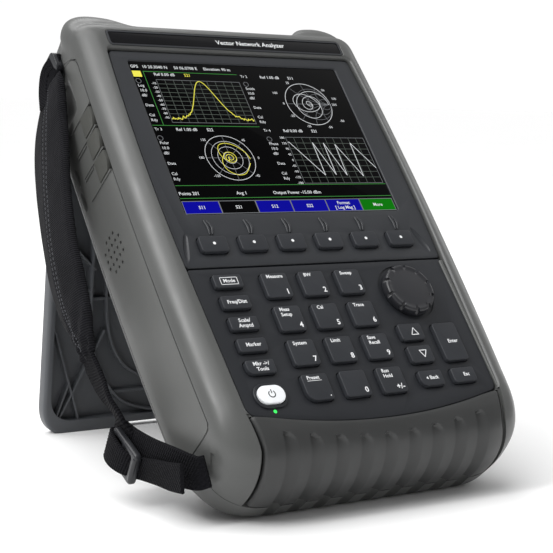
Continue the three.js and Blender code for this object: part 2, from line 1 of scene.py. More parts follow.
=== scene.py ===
"""Looks of a handheld vector network analyzer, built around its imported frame.

Shapes are laid out in the case frame, in millimetres: x to the user's right, y up the face and z out
of the face, from the middle of the display. CASE turns that frame into the row frame, in metres.
"""

import json
import math
import random

import bmesh
import bpy
import numpy as np
from mathutils import Matrix, Vector


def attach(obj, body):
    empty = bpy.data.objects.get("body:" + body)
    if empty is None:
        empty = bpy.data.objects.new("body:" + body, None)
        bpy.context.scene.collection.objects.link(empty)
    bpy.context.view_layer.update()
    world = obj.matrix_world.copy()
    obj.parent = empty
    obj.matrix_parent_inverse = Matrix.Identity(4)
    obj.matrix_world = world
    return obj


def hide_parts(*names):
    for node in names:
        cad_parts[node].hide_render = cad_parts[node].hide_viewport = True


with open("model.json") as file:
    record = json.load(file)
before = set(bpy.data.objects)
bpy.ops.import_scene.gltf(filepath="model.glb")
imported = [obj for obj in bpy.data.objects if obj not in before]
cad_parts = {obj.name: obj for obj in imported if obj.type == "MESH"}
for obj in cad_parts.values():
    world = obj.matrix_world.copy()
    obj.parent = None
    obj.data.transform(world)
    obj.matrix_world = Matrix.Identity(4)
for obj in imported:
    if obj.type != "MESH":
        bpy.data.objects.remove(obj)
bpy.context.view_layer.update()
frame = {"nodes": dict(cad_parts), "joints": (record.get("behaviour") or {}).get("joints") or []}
random.seed(7)

MM = 0.001
JOINTS = {joint["name"]: joint for joint in frame["joints"]}
KNOB = {"x": 46.4, "y": -102.8, "r": 14.6, "top": 5.2}
LEAN = math.atan2(-JOINTS["knob_turn"]["axis"][2], JOINTS["knob_turn"]["axis"][1])
TILT = Matrix.Rotation(math.pi / 2 - LEAN, 4, "X")
ORIGIN = Vector(JOINTS["knob_turn"]["pos_m"]) - TILT @ Vector((KNOB["x"], KNOB["y"], 0)) * MM
CASE = Matrix.Translation(ORIGIN) @ TILT @ Matrix.Scale(MM, 4)

GAP = 0.3  # seams between pieces
CENTRE_X = 0.8
HALF, SHOULDER = 93.5, 91.0  # half widths at the waist and at the shoulders
TOP, BOTTOM, FRONT = 79.0, -197.0, 2.0
TOP_CORNER, BOTTOM_CORNER = 10.0, 32.0
EDGE_SIDE, EDGE_TOP, EDGE_BOTTOM, EDGE_BOTTOM_DEPTH = 14.0, 11.5, 25.0, 30.0  # rounding of the front edges
HORN_TOP, HORN_INNER, HORN_FRONT, HORN_REAR = 95.0, 46.0, -5.0, -52.0
HEEL_Y, HEEL_Z = -195.5, -44.0  # where the case stands on the floor
SEAM_FRONT, SEAM_CORNER, SEAM_CORNER_TOP, SEAM_REAR = -9.3, -31.0, -161.0, -50.0
PANEL_LEFT, PANEL_RIGHT, PANEL_TOP = -79.2, 81.0, 56.5
PANEL_BOTTOM, PANEL_SIDE, PANEL_FLOOR = -172.2, -164.0, -3.0
GROOVE_Y = -82.2  # between the display bezel and the keypad panel
SCREEN_W, SCREEN_H = 66.25, 49.7  # half width and half height
STRIP = {"left": -74.5, "right": 76.0, "bottom": 58.9, "top": 69.2}
STRIP_CENTRE = ((STRIP["left"] + STRIP["right"]) / 2, (STRIP["bottom"] + STRIP["top"]) / 2)
STRIP_SIZE = np.array([STRIP["right"] - STRIP["left"], STRIP["top"] - STRIP["bottom"]])
STAND = {"y": 60.0, "z": -65.0, "open": 46.0, "half": 82.0, "thick": 8.6, "corner": 19.0, "lift": 2.6}
PIN_RADIUS = 2.1
FLAP_ROWS, FLAP_FRONT, FLAP_REAR = [28.5, 14.3, 0.1, -14.1], -9.6, -22.5
FLAP_GAP, FLAP_PROUD = 0.65, 1.15
DOOR = {"top": -78.0, "bottom": -152.0, "front": -14.0, "rear": -45.0}
PORTS, PORT_Z = [-24.0, 27.0], -29.0
FLUTES = [CENTRE_X + 14.4 * k for k in range(-4, 5)]
FLUTE_HALF, FLUTE_DEPTH, BUMPER_THICK = 3.9, 2.3, 3.2
LEFT, RIGHT = (-125, -70), (70, 125)  # x ranges that hold one side of the case
UPRIGHT = Matrix.Rotation(-math.pi / 2, 4, "X")


# ------------------------ mesh tools


def new_object(vertices, faces):
    mesh = bpy.data.meshes.new("piece")
    mesh.from_pydata([tuple(map(float, v)) for v in vertices], [], [tuple(map(int, f)) for f in faces])
    obj = bpy.data.objects.new("piece", mesh)
    bpy.context.scene.collection.objects.link(obj)
    return obj


def copy_of(obj):
    twin = bpy.data.objects.new("piece", obj.data.copy())
    bpy.context.scene.collection.objects.link(twin)
    return twin


def remove(obj):
    mesh = obj.data
    bpy.data.objects.remove(obj)
    bpy.data.meshes.remove(mesh)


def moved(obj, matrix):
    obj.data.transform(matrix)
    return obj


def outward(obj):
    """Faces all point out of the closed mesh."""
    mesh = bmesh.new()
    mesh.from_mesh(obj.data)
    bmesh.ops.recalc_face_normals(mesh, faces=mesh.faces)
    mesh.to_mesh(obj.data)
    mesh.free()
    return obj


def settle(obj):
    """The object's modifiers become its mesh."""
    graph = bpy.context.evaluated_depsgraph_get()
    mesh = bpy.data.meshes.new_from_object(obj.evaluated_get(graph))
    old = obj.data
    obj.modifiers.clear()
    obj.data = mesh
    bpy.data.meshes.remove(old)
    return obj


def boolean(target, operation, tools, keep):
    for tool in tools:
        step = target.modifiers.new("boolean", "BOOLEAN")
        step.operation, step.solver, step.object = operation, "MANIFOLD", tool
        settle(target)
        if not keep:
            remove(tool)
    return target


def cut(target, *tools, keep=False):
    return boolean(target, "DIFFERENCE", tools, keep)


def join(target, *tools):
    return boolean(target, "UNION", tools, False)


def common(target, *tools, keep=False):
    return boolean(target, "INTERSECT", tools, keep)


def bands(rows, around):
    """Faces between closed rows of points."""
    pairs = [(i, (i + 1) % around) for i in range(around)]
    starts = range(0, (rows - 1) * around, around)
    return [(s + a, s + b, s + b + around, s + a + around) for s in starts for a, b in pairs]


def loft(rows):
    """A closed skin over a row of closed outlines with the same number of points each."""
    rows = np.asarray(rows, float)
    count, around = rows.shape[:2]
    ends = [tuple(range(around))[::-1], tuple(range((count - 1) * around, count * around))]
    return outward(new_object(rows.reshape(-1, 3), bands(count, around) + ends))


def curve(start, *steps, detail=10):
    """An outline: points, and (control, end) pairs for round stretches."""
    points = [np.array(start, float)]
    for step in steps:
        if np.ndim(step) == 1:
            points.append(np.array(step, float))
            continue
        a, (b, c) = points[-1], np.array(step, float)
        for t in np.linspace(0, 1, detail + 1)[1:]:
            points.append((1 - t) ** 2 * a + 2 * t * (1 - t) * b + t * t * c)
    return np.array([p for i, p in enumerate(points) if np.linalg.norm(p - points[i - 1]) > 1e-4])


def rounded(x, y, w, h, radii, detail=6):
    """A rounded rectangle, anticlockwise, with its corner radii from the lower left one on."""
    radii = [radii] * 4 if np.isscalar(radii) else radii
    points = []
    for (sx, sy, start), r in zip([(-1, -1, 180), (1, -1, 270), (1, 1, 0), (-1, 1, 90)], radii):
        cx, cy = x + sx * (w / 2 - r), y + sy * (h / 2 - r)
        for angle in np.radians(np.linspace(start, start + 90, detail + 1)):
            points.append((cx + r * math.cos(angle), cy + r * math.sin(angle)))
    return np.array(points)


def box(x0, x1, y0, y1):
    return [(x0, y0), (x1, y0), (x1, y1), (x0, y1)]


def circle(x, y, r, count=32):
    angles = np.arange(count) * 2 * math.pi / count
    return np.column_stack([x + r * np.cos(angles), y + r * np.sin(angles)])


def anticlockwise(outline):
    p = np.asarray(outline, float)
    q = np.roll(p, -1, 0)
    area = (p[:, 0] * q[:, 1] - q[:, 0] * p[:, 1]).sum()
    return p if area > 0 else p[::-1]


def grown(outline, distance):
    """The outline moved out by a distance, or in when it is negative."""
    p = anticlockwise(outline)
    ahead = np.roll(p, -1, 0) - p
    ahead /= np.linalg.norm(ahead, axis=1)[:, None]
    normal = np.column_stack([ahead[:, 1], -ahead[:, 0]])
    mean = normal + np.roll(normal, 1, 0)
    mean /= np.linalg.norm(mean, axis=1)[:, None]
    share = np.maximum((mean * normal).sum(1), 0.5)
    return p + mean * (distance / share)[:, None]


def sections(outline, rows):
    """The outline at each (outward step, height) of the rows."""
    rings = [(grown(outline, out) if out else outline, z) for out, z in rows]
    return loft([np.column_stack([ring, np.full(len(ring), z)]) for ring, z in rings])


def slab(outline, z0, z1, rim=0.0, under=0.0, steps=3):
    """A plate between two heights, its upper rim and its lower rim rounded."""
    turns = np.linspace(0, math.pi / 2, steps + 1)
    rows = [(0, z0 + under), (0, z1 - rim)]
    if under:
        rows[:0] = [(-under * (1 - math.sin(a)), z0 + under * (1 - math.cos(a))) for a in turns[:-1]]
    if rim:
        rows += [(-rim * (1 - math.cos(a)), z1 - rim * (1 - math.sin(a))) for a in turns[1:]]
    return sections(anticlockwise(outline), rows)


def flared(outline, floor, mouth, roll):
    """A cutter whose mouth opens in a soft roll."""
    turns = np.linspace(0, math.pi / 2, 5)[1:]
    rows = [(0, floor), (0, mouth - roll)]
    rows += [(roll * (1 - math.cos(a)), mouth - roll * (1 - math.sin(a))) for a in turns]
    return sections(anticlockwise(outline), [*rows, (roll + 0.02, mouth + 3)])


def block(x0, x1, y0, y1, z0, z1):
    return slab(box(x0, x1, y0, y1), z0, z1)


def side_prism(profile, x0, x1):
    """A prism along x over (y, z) points."""
    profile = anticlockwise(profile)
    return loft([np.column_stack([np.full(len(profile), x), profile]) for x in (x0, x1)])


def upright_prism(outline, y0, y1, rim=0.0):
    """A prism along y over (x, z) points."""
    return moved(slab(np.asarray(outline, float) * [1, -1], y0, y1, rim), UPRIGHT)


def lathe(profile, count=64):
    """A closed (r, z) profile turned about z. The profile starts and ends on the axis."""
    angles = np.arange(count) * 2 * math.pi / count
    rings = profile[1:-1]
    vertices = [(r * math.cos(a), r * math.sin(a), z) for r, z in rings for a in angles]
    first, last = len(vertices), len(vertices) + 1
    end = (len(rings) - 1) * count
    vertices += [(0, 0, profile[0][1]), (0, 0, profile[-1][1])]
    faces = bands(len(rings), count)
    faces += [(first, (i + 1) % count, i) for i in range(count)]
    faces += [(last, end + i, end + (i + 1) % count) for i in range(count)]
    return outward(new_object(vertices, faces))


def scoop(centre, size, turn=0.0):
    """A lens-shaped cutter, turned about z by an angle in degrees."""
    ball = lathe([(math.sin(a), math.cos(a)) for a in np.linspace(0, math.pi, 17)], 32)
    spin = Matrix.Rotation(math.radians(turn), 4, "Z")
    return moved(ball, Matrix.Translation(centre) @ spin @ Matrix.Diagonal((*size, 1)))


def spline(points, count):
    """A smooth open curve through the points."""
    p = np.asarray(points, float)
    ends = np.vstack([2 * p[0] - p[1], p, 2 * p[-1] - p[-2]])
    made = []
    for s in np.linspace(0, len(p) - 1 - 1e-9, count):
        i, t = int(s), s - int(s)
        a, b, c, d = ends[i : i + 4]
        square, cube = (2 * a - 5 * b + 4 * c - d) * t**2, (3 * b - 3 * c + d - a) * t**3
        made.append(0.5 * (2 * b + (c - a) * t + square + cube))
    return np.array(made)


def directions(path):
    """The direction of a path at each of its points."""
    ahead = np.gradient(path, axis=0)
    return ahead / np.linalg.norm(ahead, axis=1)[:, None]


def tube(path, radius, around=10):
    """A round rod along a path of points, of one radius or of one for each point."""
    path = np.asarray(path, float)
    ahead = directions(path)
    side = np.cross(ahead[0], [0.3, 0.5, 0.8])
    turns = np.arange(around) * 2 * math.pi / around
    rows = []
    for p, a, r in zip(path, ahead, np.broadcast_to(radius, len(path))):
        side = side - a * (side @ a)
        side /= np.linalg.norm(side)
        up = np.cross(a, side)
        rows.append([p + r * (math.cos(t) * side + math.sin(t) * up) for t in turns])
    return loft(rows)


class Pile:
    """Many small closed shapes in one mesh, with a material for each."""

    def __init__(self):
        self.vertices, self.faces, self.materials, self.used = [], [], [], []

    def add(self, vertices, faces, material):
        if material not in self.used:
            self.used.append(material)
        base = len(self.vertices)
        self.vertices += [tuple(v) for v in vertices]
        self.faces += [tuple(base + i for i in face) for face in faces]
        self.materials += [self.used.index(material)] * len(faces)

    def take(self, obj, material):
        mesh = obj.data
        self.add([v.co[:] for v in mesh.vertices], [p.vertices[:] for p in mesh.polygons], material)
        remove(obj)

    def tile(self, ring, z, material, thick=0.05):
        """A thin tile on four (x, y) corners."""
        corners = [(x, y, height) for height in (z, z + thick) for x, y in ring]
        sides = [(i, (i + 1) % 4, (i + 1) % 4 + 4, i + 4) for i in range(4)]
        self.add(corners, [(3, 2, 1, 0), (4, 5, 6, 7), *sides], material)

    def stroke(self, points, width, z, material, thick=0.06, closed=False):
        """A flat line through (x, y) points, lying at height z."""
        p = np.asarray(points, float)
        if closed:
            p = np.vstack([p, p[:1]])
        for a, b in zip(p[:-1], p[1:]):
            ahead = (b - a) / max(np.linalg.norm(b - a), 1e-6)
            side = np.array([-ahead[1], ahead[0]]) * width / 2
            start, end = a - ahead * width * 0.3, b + ahead * width * 0.3
            self.tile([start - side, end - side, end + side, start + side], z, material, thick)

    def write(self, text, x, y, z, size, material, align="LEFT", bold=0.0, thick=0.05):
        """Plain lettering, standing on the point (x, y)."""
        data = bpy.data.curves.new("text", "FONT")
        data.body, data.size, data.align_x, data.align_y = text, size, align, "CENTER"
        data.extrude, data.offset, data.resolution_u = thick / 2, bold, 2
        made = bpy.data.objects.new("text", data)
        bpy.context.scene.collection.objects.link(made)
        graph = bpy.context.evaluated_depsgraph_get()
        mesh = bpy.data.meshes.new_from_object(made.evaluated_get(graph))
        vertices = [(v.co.x + x, v.co.y + y, v.co.z + z + thick / 2) for v in mesh.vertices]
        self.add(vertices, [p.vertices[:] for p in mesh.polygons], material)
        bpy.data.objects.remove(made)
        bpy.data.curves.remove(data)
        bpy.data.meshes.remove(mesh)

    def build(self):
        obj = new_object(self.vertices, self.faces)
        for material in self.used:
            obj.data.materials.append(material)
        for polygon, index in zip(obj.data.polygons, self.materials):
            polygon.material_index = index
        return obj


def place(obj, name, slot, material=None, angle=32, body="case", matrix=CASE):
    """A finished piece: named, in the row frame, shaded, painted and riding on its body.

    A name that ends in skin, cap or cover stands for the CAD node that it begins with.
    """
    obj.name = name
    obj.data.transform(matrix)
    obj.data.shade_smooth()
    obj.data.set_sharp_from_angle(angle=math.radians(angle))
    if material:
        obj.data.materials.clear()
        obj.data.materials.append(material)
    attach(obj, body)
    node, _, kind = name.rpartition("_")
    if kind in ("skin", "cap", "cover"):
        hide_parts(node)


# ------------------------ materials


class Paint:
    """A node material, built step by step around one principled shader."""

    def __init__(self, name, color, rough=0.5, metal=0.0):
        self.material = bpy.data.materials.new(name)
        self.material.use_nodes = True
        self.nodes = self.material.node_tree.nodes
        self.links = self.material.node_tree.links
        self.shader = self.nodes["Principled BSDF"]
        self.color, self.rough, self.height = color, rough, None
        self.fill(self.shader, Base_Color=(*color, 1), Roughness=rough, Metallic=metal)
        self.place = self.nodes.new("ShaderNodeTexCoord").outputs["Object"]
        self.material.diffuse_color = (*color, 1)

    def fill(self, node, **sockets):
        for key, value in sockets.items():
            node.inputs[key.replace("_", " ")].default_value = value
        return node

    def node(self, kind, **sockets):
        return self.fill(self.nodes.new(kind), **sockets)

    def noise(self, scale, detail=3.0):
        made = self.node("ShaderNodeTexNoise", Scale=scale, Detail=detail, Roughness=0.55)
        self.links.new(self.place, made.inputs["Vector"])
        return made.outputs["Fac"]

    def spread(self, value, low, high):
        made = self.node("ShaderNodeMapRange", From_Min=0.3, From_Max=0.7, To_Min=low, To_Max=high)
        self.links.new(value, made.inputs["Value"])
        return made.outputs["Result"]

    def vary(self, scale, amount=0.12, tint=(1, 1, 1)):
        """The colour drifts a little over the surface."""
        mix = self.nodes.new("ShaderNodeMix")
        mix.data_type = "RGBA"
        low = [c * (1 - amount) for c in self.color]
        high = [min(c * (1 + amount) * t, 1) for c, t in zip(self.color, tint)]
        self.fill(mix, A=(*low, 1), B=(*high, 1))
        self.links.new(self.spread(self.noise(scale), 0, 1), mix.inputs["Factor"])
        self.links.new(mix.outputs["Result"], self.shader.inputs["Base Color"])
        return self

    def gloss(self, scale, amount=0.08):
        """The roughness drifts, as with handling."""
        drift = self.spread(self.noise(scale, 4), self.rough - amount, self.rough + amount)
        self.links.new(drift, self.shader.inputs["Roughness"])
        return self

    def bump(self, value, strength, depth):
        """Adds a bump on top of those made before it."""
        bump = self.node("ShaderNodeBump", Strength=strength, Distance=depth)
        self.links.new(value, bump.inputs["Height"])
        if self.height:
            self.links.new(self.height, bump.inputs["Normal"])
        self.height = bump.outputs["Normal"]
        self.links.new(self.height, self.shader.inputs["Normal"])

    def grain(self, scale, strength, depth=0.00005):
        """A moulded texture."""
        self.bump(self.noise(scale, 2.0), strength, depth)
        return self

    def shine(self, level):
        self.fill(self.shader, Specular_IOR_Level=level)
        return self


def moulded(name, color, rough, grain=0.12, level=0.45):
    """Spark-textured plastic, with a slow drift in tone and in gloss."""
    paint = Paint(name, color, rough).vary(18, 0.06).gloss(55, 0.05).shine(level)
    return paint.grain(2600, grain, 0.00004).grain(420, grain * 0.5, 0.00004).material


def rubber(name, color, rough, level=0.3):
    paint = Paint(name, color, rough).vary(40, 0.1).gloss(120, 0.07).shine(level)
    return paint.grain(3200, 0.2, 0.00004).material


def glossy(name, color, rough, drift, level):
    return Paint(name, color, rough).vary(60, 0.2).gloss(*drift).shine(level).material


def glowing(name, color, strength):
    """A lit part of the display, with a faint drift of the backlight."""
    paint = Paint(name, tuple(c * 0.05 for c in color), 0.3).shine(0.05)
    paint.fill(paint.shader, Emission_Color=(*color, 1))
    drift = paint.spread(paint.noise(30), strength * 0.93, strength * 1.07)
    paint.links.new(drift, paint.shader.inputs["Emission Strength"])
    return paint.material


def metal(name, color, rough):
    return Paint(name, color, rough, 1.0).vary(90, 0.06).gloss(300).grain(2400, 0.1, 0.00003).material


GREY = moulded("case_grey", (0.078, 0.080, 0.078), 0.36)
GREY_PANEL = moulded("panel_grey", (0.082, 0.084, 0.081), 0.40)
BUMPER = moulded("bumper_grey", (0.033, 0.034, 0.034), 0.36)
REAR_GREY = moulded("rear_grey", (0.062, 0.063, 0.064), 0.46, 0.16)
SLATE = moulded("slate", (0.026, 0.028, 0.032), 0.40, level=0.35)
SLATE_LOW = moulded("slate_keypad", (0.0185, 0.020, 0.0235), 0.42, level=0.3)
FLAP_RUBBER = rubber("flap_rubber", (0.052, 0.053, 0.048), 0.5)
KEY_RUBBER = rubber("key_rubber", (0.0245, 0.0265, 0.031), 0.48)
KNOB_RUBBER = rubber("knob_rubber", (0.0135, 0.014, 0.017), 0.36, 0.5)
INK = Paint("key_ink", (0.80, 0.81, 0.82), 0.5).vary(300, 0.04).material
POWER_WHITE = Paint("power_white", (0.86, 0.88, 0.90), 0.35).vary(200, 0.03).material
STRIP_BLACK = glossy("strip_black", (0.004, 0.004, 0.005), 0.2, (80, 0.03), 0.2)
GLASS_BLACK = glossy("glass_black", (0.0006, 0.0006, 0.0008), 0.12, (90, 0.02), 0.06)
STAND_GREY = moulded("stand_grey", (0.066, 0.070, 0.077), 0.42, 0.16)
BUCKLE = moulded("buckle_black", (0.022, 0.023, 0.026), 0.30, 0.1)
NICKEL = metal("nickel", (0.72, 0.69, 0.62), 0.24)
STEEL = metal("steel", (0.56, 0.57, 0.58), 0.3)
GOLD = metal("gold_contact", (0.83, 0.62, 0.25), 0.22)
PTFE = Paint("ptfe", (0.80, 0.79, 0.75), 0.45).vary(300, 0.05).grain(2500, 0.1).material


# ------------------------ outer form of the case


def rounding(z, radius, depth=None):
    """How far an edge rounded over a depth stands in at z."""
    depth = depth or radius
    along = min(max((z - (FRONT - depth)) / depth, 0), 1)
    return radius * (1 - math.sqrt(1 - along * along))


def case_outline(side, top, bottom, z, detail):
    waist, shoulder = HALF - side, SHOULDER - side
    pull = 2 * waist - shoulder
    y0, y1 = BOTTOM + bottom, TOP - top
    low = BOTTOM_CORNER + (-0.4 if z > -30 else 0.7) * bottom
    half = curve(
        (0, y1),
        (-(shoulder - TOP_CORNER), y1),
        ((-shoulder, y1), (-shoulder, y1 - TOP_CORNER)),
        ((-pull, (y0 + y1) / 2), (-shoulder, y0 + low)),
        ((-shoulder, y0), (-(shoulder - low), y0)),
        (0, y0),
        detail=detail,
    )
    outline = np.vstack([half, (half * [-1, 1])[::-1][1:-1]]) + [CENTRE_X, 0]
    return np.column_stack([outline, np.full(len(outline), z)])


def rear_insets(z):
    """How far the side, the top and the bottom are drawn in behind the widest part."""
    heel = HEEL_Y - BOTTOM
    table = np.array([
        (-40, 0, 0, 0),
        (HEEL_Z, 0, 0, heel),
        (HEEL_Z - 6, 0.4, 0.5, heel + 6 * math.tan(LEAN)),
        (-53, 1.4, 1.7, 10.2),
        (-56, 3.4, 3.9, 15),
        (-58.5, 6.2, 6.6, 20.5),
        (-60, 10, 10, 27),
    ])
    return [np.interp(-z, -table[:, 0], table[:, k]) for k in (1, 2, 3)]


def case_form(inset=0.0, detail=14, steps=30):
    """The outer form of the case without its horns, or a copy drawn in by an inset."""
    rows = []
    for t in np.linspace(0, 1, steps):
        z = FRONT - 30 * t * t
        low = rounding(z, EDGE_BOTTOM, EDGE_BOTTOM_DEPTH)
        rows.append((z, rounding(z, EDGE_SIDE), rounding(z, EDGE_TOP), low))
    rows += [(z, *rear_insets(z)) for z in (-36, -40, -44, -47, -50, -53, -56, -58.5, -60)]
    return loft([
        case_outline(side + inset, top + inset, low + inset, z - inset if z > -25 else z + inset, detail)
        for z, side, top, low in rows
    ])


def horn(side):
    """A corner horn, with its rows and its outline both drawn as smooth curves."""
    rows = []
    for z, share, drawn, inner in [
        (HORN_FRONT, 0.12, 5, 0),
        (-8, 0.45, 1.6, 1),
        (-13, 0.78, 0.2, 3),
        (-19, 1, 0.6, 5),
        (-25, 0.97, 3, 6),
        (HORN_REAR + 6, 0.8, 4.5, 6),
        (HORN_REAR, 0.55, 7, 7),
    ]:
        lift, inside, outside = (HORN_TOP - TOP) * share, HORN_INNER + inner, SHOULDER - drawn
        crest = [
            (inside, 66),
            (inside, TOP - 1),
            (inside + 6, TOP + lift * 0.33),
            (inside + 13, TOP + lift * 0.84),
            (inside + 19, TOP + lift),
            (outside - 13, TOP + lift),
            (outside - 5, TOP - 2 + lift * 0.82),
            (outside, TOP - 8 + lift * 0.5),
            (outside, 60),
        ]
        rows.append([(side * x + CENTRE_X, y, z) for x, y in [*spline(crest, 48), (inside + 12, 60)]])
    flat = np.asarray(rows).reshape(len(rows), -1)
    return loft(spline(flat, 34).reshape(34, -1, 3))


def outer_case():
    """Case and horns, melted together into one smooth skin, with the strap's recess."""
    body = join(case_form(), horn(-1), horn(1))
    cut(body, block(-130, -88.6, 36, 86, -64, -24))
    remesh = body.modifiers.new("remesh", "REMESH")
    remesh.mode, remesh.voxel_size = "VOXEL", 1.5
    settle(body)
    smooth = body.modifiers.new("smooth", "SMOOTH")
    smooth.factor, smooth.iterations = 0.5, 6
    return settle(body)


def panel_path(grow=0.0):
    """Outline of the face panels together."""
    x0, x1, y1 = PANEL_LEFT - grow, PANEL_RIGHT + grow, PANEL_TOP + grow
    side, middle = PANEL_SIDE - grow, (PANEL_LEFT + PANEL_RIGHT) / 2
    return curve(
        (x0 + 6, y1),
        ((x0 + 3, y1), (x0 + 3, y1 - 4)),
        ((x0 - 1.5, -20), (x0 + 1.5, GROOVE_Y)),
        (x0 + 5, PANEL_SIDE + 5),
        ((x0 + 5.2, side), (x0 + 10, side - 0.7)),
        ((middle, 2 * PANEL_BOTTOM - PANEL_SIDE - grow), (x1 - 10, side - 0.7)),
        ((x1 - 4.4, side), (x1 - 4, PANEL_SIDE + 5)),
        (x1 - 1.5, GROOVE_Y),
        ((x1 + 2, -20), (x1 - 2.5, y1 - 4)),
        ((x1 - 2.5, y1), (x1 - 6, y1)),
        detail=12,
    )


def half_panel(upper):
    """Outline of the display bezel or of the keypad panel, split at the groove."""
    sign = 1 if upper else -1
    line, corner = GROOVE_Y + 0.45 * sign, 1.2
    left, right = PANEL_LEFT + 1.5, PANEL_RIGHT - 1.5
    kept = [p for p in panel_path() if (p[1] > line) == upper]
    edge = [(left, line + corner * sign), (left + corner, line), (right - corner, line)]
    edge.append((right, line + corner * sign))
    if not upper:
        return np.array([*edge[::-1], *kept])
    split = next(i for i, p in enumerate(kept) if p[0] > 0 and kept[i - 1][0] < 0)
    return np.array([*kept[:split], *edge, *kept[split:]])


def front_region(extra):
    """The face, the lower corners further back, and the horns right to the rear."""
    front, corner, rear = SEAM_FRONT - extra, SEAM_CORNER - extra, SEAM_REAR - extra
    cheek = SEAM_CORNER_TOP + extra
    profile = [
        (130, rear),
        (66 - extra, rear),
        *spline([(66 - extra, -24), (62 - extra, -15), (58.4 - extra, front - 0.8)], 8),
        *spline([(57.2 - extra, front - 0.2), (54 - extra, front)], 3),
        (cheek, front),
        *spline([(cheek - 2.4, front - 1.6), (cheek - 3.6, front - 6), (cheek - 5, corner)], 8),
        (-225, corner),
        (-225, 20),
        (130, 20),
    ]
    return side_prism(profile, LEFT[0], RIGHT[1])


def side_region(side, grow):
    """One side panel, with its rounded upper front corner. Its lower edge follows the front frame's."""
    front, rear = SEAM_FRONT - 0.6 + grow, SEAM_REAR + 0.6 - grow
    low = SEAM_CORNER_TOP + 0.7 - grow
    profile = [
        (low - 5.6, rear),
        (57.6 + grow, rear),
        (63.5 + grow, -24),
        *spline([(61.2 + grow, -15), (57.8 + grow, front - 1.2), (54 + grow, front)], 6),
        (low, front),
        *spline([(low - 2.2, front - 1.2), (low - 3.4, front - 5.4), (low - 5, SEAM_CORNER)], 8),
    ]
    return side_prism(profile, *(LEFT if side < 0 else RIGHT))


def bumper_outline(grow):
    top = PANEL_SIDE - 1 + grow
    left = [(-74.5 - grow, top), (-71.5 - grow, -181), (-74 - grow, -215)]
    return [*left, (75.6 + grow, -215), (73.1 + grow, -181), (76.1 + grow, top)]


def door_region(grow):
    y0, y1 = DOOR["bottom"] - grow, DOOR["top"] + grow
    return block(*RIGHT, y0, y1, DOOR["rear"] - grow, DOOR["front"] + grow)


def strap_slot():
    """Cutter for the slot that the webbing comes back into."""
    middle = Matrix.Translation((-91.8, -178.6, -22.2))
    lean = Matrix.Rotation(math.radians(-37), 4, "X") @ Matrix.Rotation(math.pi / 2, 4, "X")
    return moved(slab(rounded(0, 0, 7, 17.4, 1.2), -1.7, 1.7), middle @ lean)


def groove_cutter(x):
    """A flute that runs on under the case, behind the bumper."""
    y = BOTTOM - 1
    turns = np.linspace(0, 2 * math.pi, 25)[:-1]
    ring = [(x + FLUTE_HALF * math.cos(a), y + 3.2 * math.sin(a)) for a in turns]
    rows = []
    for z, grow in [(-46, 0.2), (-43, 0.8), (-40, 1.0), (SEAM_CORNER + 5, 1.0)]:
        rows.append([(x + (px - x) * grow, y + (py - y) * grow, z) for px, py in ring])
    return loft(rows)


def build_case():
    outer = outer_case()
    inner, middle, seat = case_form(4.2, 8, 12), case_form(2.0, 10, 16), case_form(2.3, 10, 16)
    deep, shallow = case_form(BUMPER_THICK + GAP, 10, 16), case_form(1.1, 10, 16)
    shell = cut(copy_of(outer), inner, keep=True)
    skin = cut(copy_of(outer), middle, keep=True)

    front = common(copy_of(shell), front_region(0))
    cut(front, flared(panel_path(0.8), -20, FRONT, 1.9))
    for grow, extra, panel, core in [(GAP, GAP, 0, deep), (1.5, 0.2, -1, shallow)]:
        ring = slab(bumper_outline(grow), SEAM_CORNER - extra, 12)
        cut(front, cut(ring, slab(panel_path(panel), -14, 14), core))
    cut(front, flared(rounded(*STRIP_CENTRE, *(STRIP_SIZE + 0.6), 2.3), 0.9, FRONT, 0.5))
    cut(front, strap_slot())
    place(front, "front_frame_skin", "case_grey", GREY)

    back = cut(block(-130, 130, -230, 130, SEAM_REAR, 30), front_region(GAP))
    housing = common(copy_of(shell), back)
    low, high = FLAP_ROWS[3], FLAP_ROWS[0]
    bay = block(-91, -82.2, low - 1, high + 1.5, FLAP_REAR - 1.5, FLAP_FRONT - 1.5)
    join(housing, common(bay, middle, keep=True))
    for side in (-1, 1):
        cut(housing, cut(side_region(side, GAP), seat, keep=True))
    cut(housing, *[groove_cutter(x) for x in FLUTES])
    cut(housing, block(-130, -84.5, low + 2.5, high - 2, -21, -12.6))
    cut(housing, block(70, 130, DOOR["bottom"] + 3, DOOR["top"] - 3, -42, -17))
    cut(housing, strap_slot())
    place(housing, "main_housing_skin", "case_grey", GREY)

    left = common(copy_of(skin), side_region(-1, 0))
    for y0, y1 in zip(FLAP_ROWS[1:], FLAP_ROWS):
        y0, y1 = y0 + 0.5 - FLAP_GAP, y1 + FLAP_GAP
        cut(left, block(*LEFT, y0, y1, FLAP_REAR - FLAP_GAP, FLAP_FRONT + FLAP_GAP))
    cut(left, scoop((-94.4, 7.4, -10.6), (1.7, 21.5, 2.6)))
    for y, z in [(6.2, -44.3), (-8.5, -45.6)]:
        cut(left, scoop((-93.2, y, z), (2.2, 6.8, 2.6)))
    grille_y, grille_z, pitch = -49, -33, 4.4
    for i, j in [(i, j) for i in range(-2, 3) for j in range(-2, 3) if abs(i) + abs(j) < 4]:
        hole = circle(grille_y + i * pitch, grille_z + j * pitch, 0.95, 12)
        cut(left, side_prism(hole, LEFT[0], -85))
    place(left, "side_panel_left_skin", "case_grey", GREY_PANEL)

    right = cut(common(copy_of(skin), side_region(1, 0)), door_region(GAP))
    place(right, "side_panel_right_skin", "case_grey", GREY_PANEL)

    build_flaps(middle)
    build_flap_lines(middle)
    build_door(skin)
    build_rear(outer)
    for helper in (outer, inner, middle, seat, shell, skin):
        remove(helper)


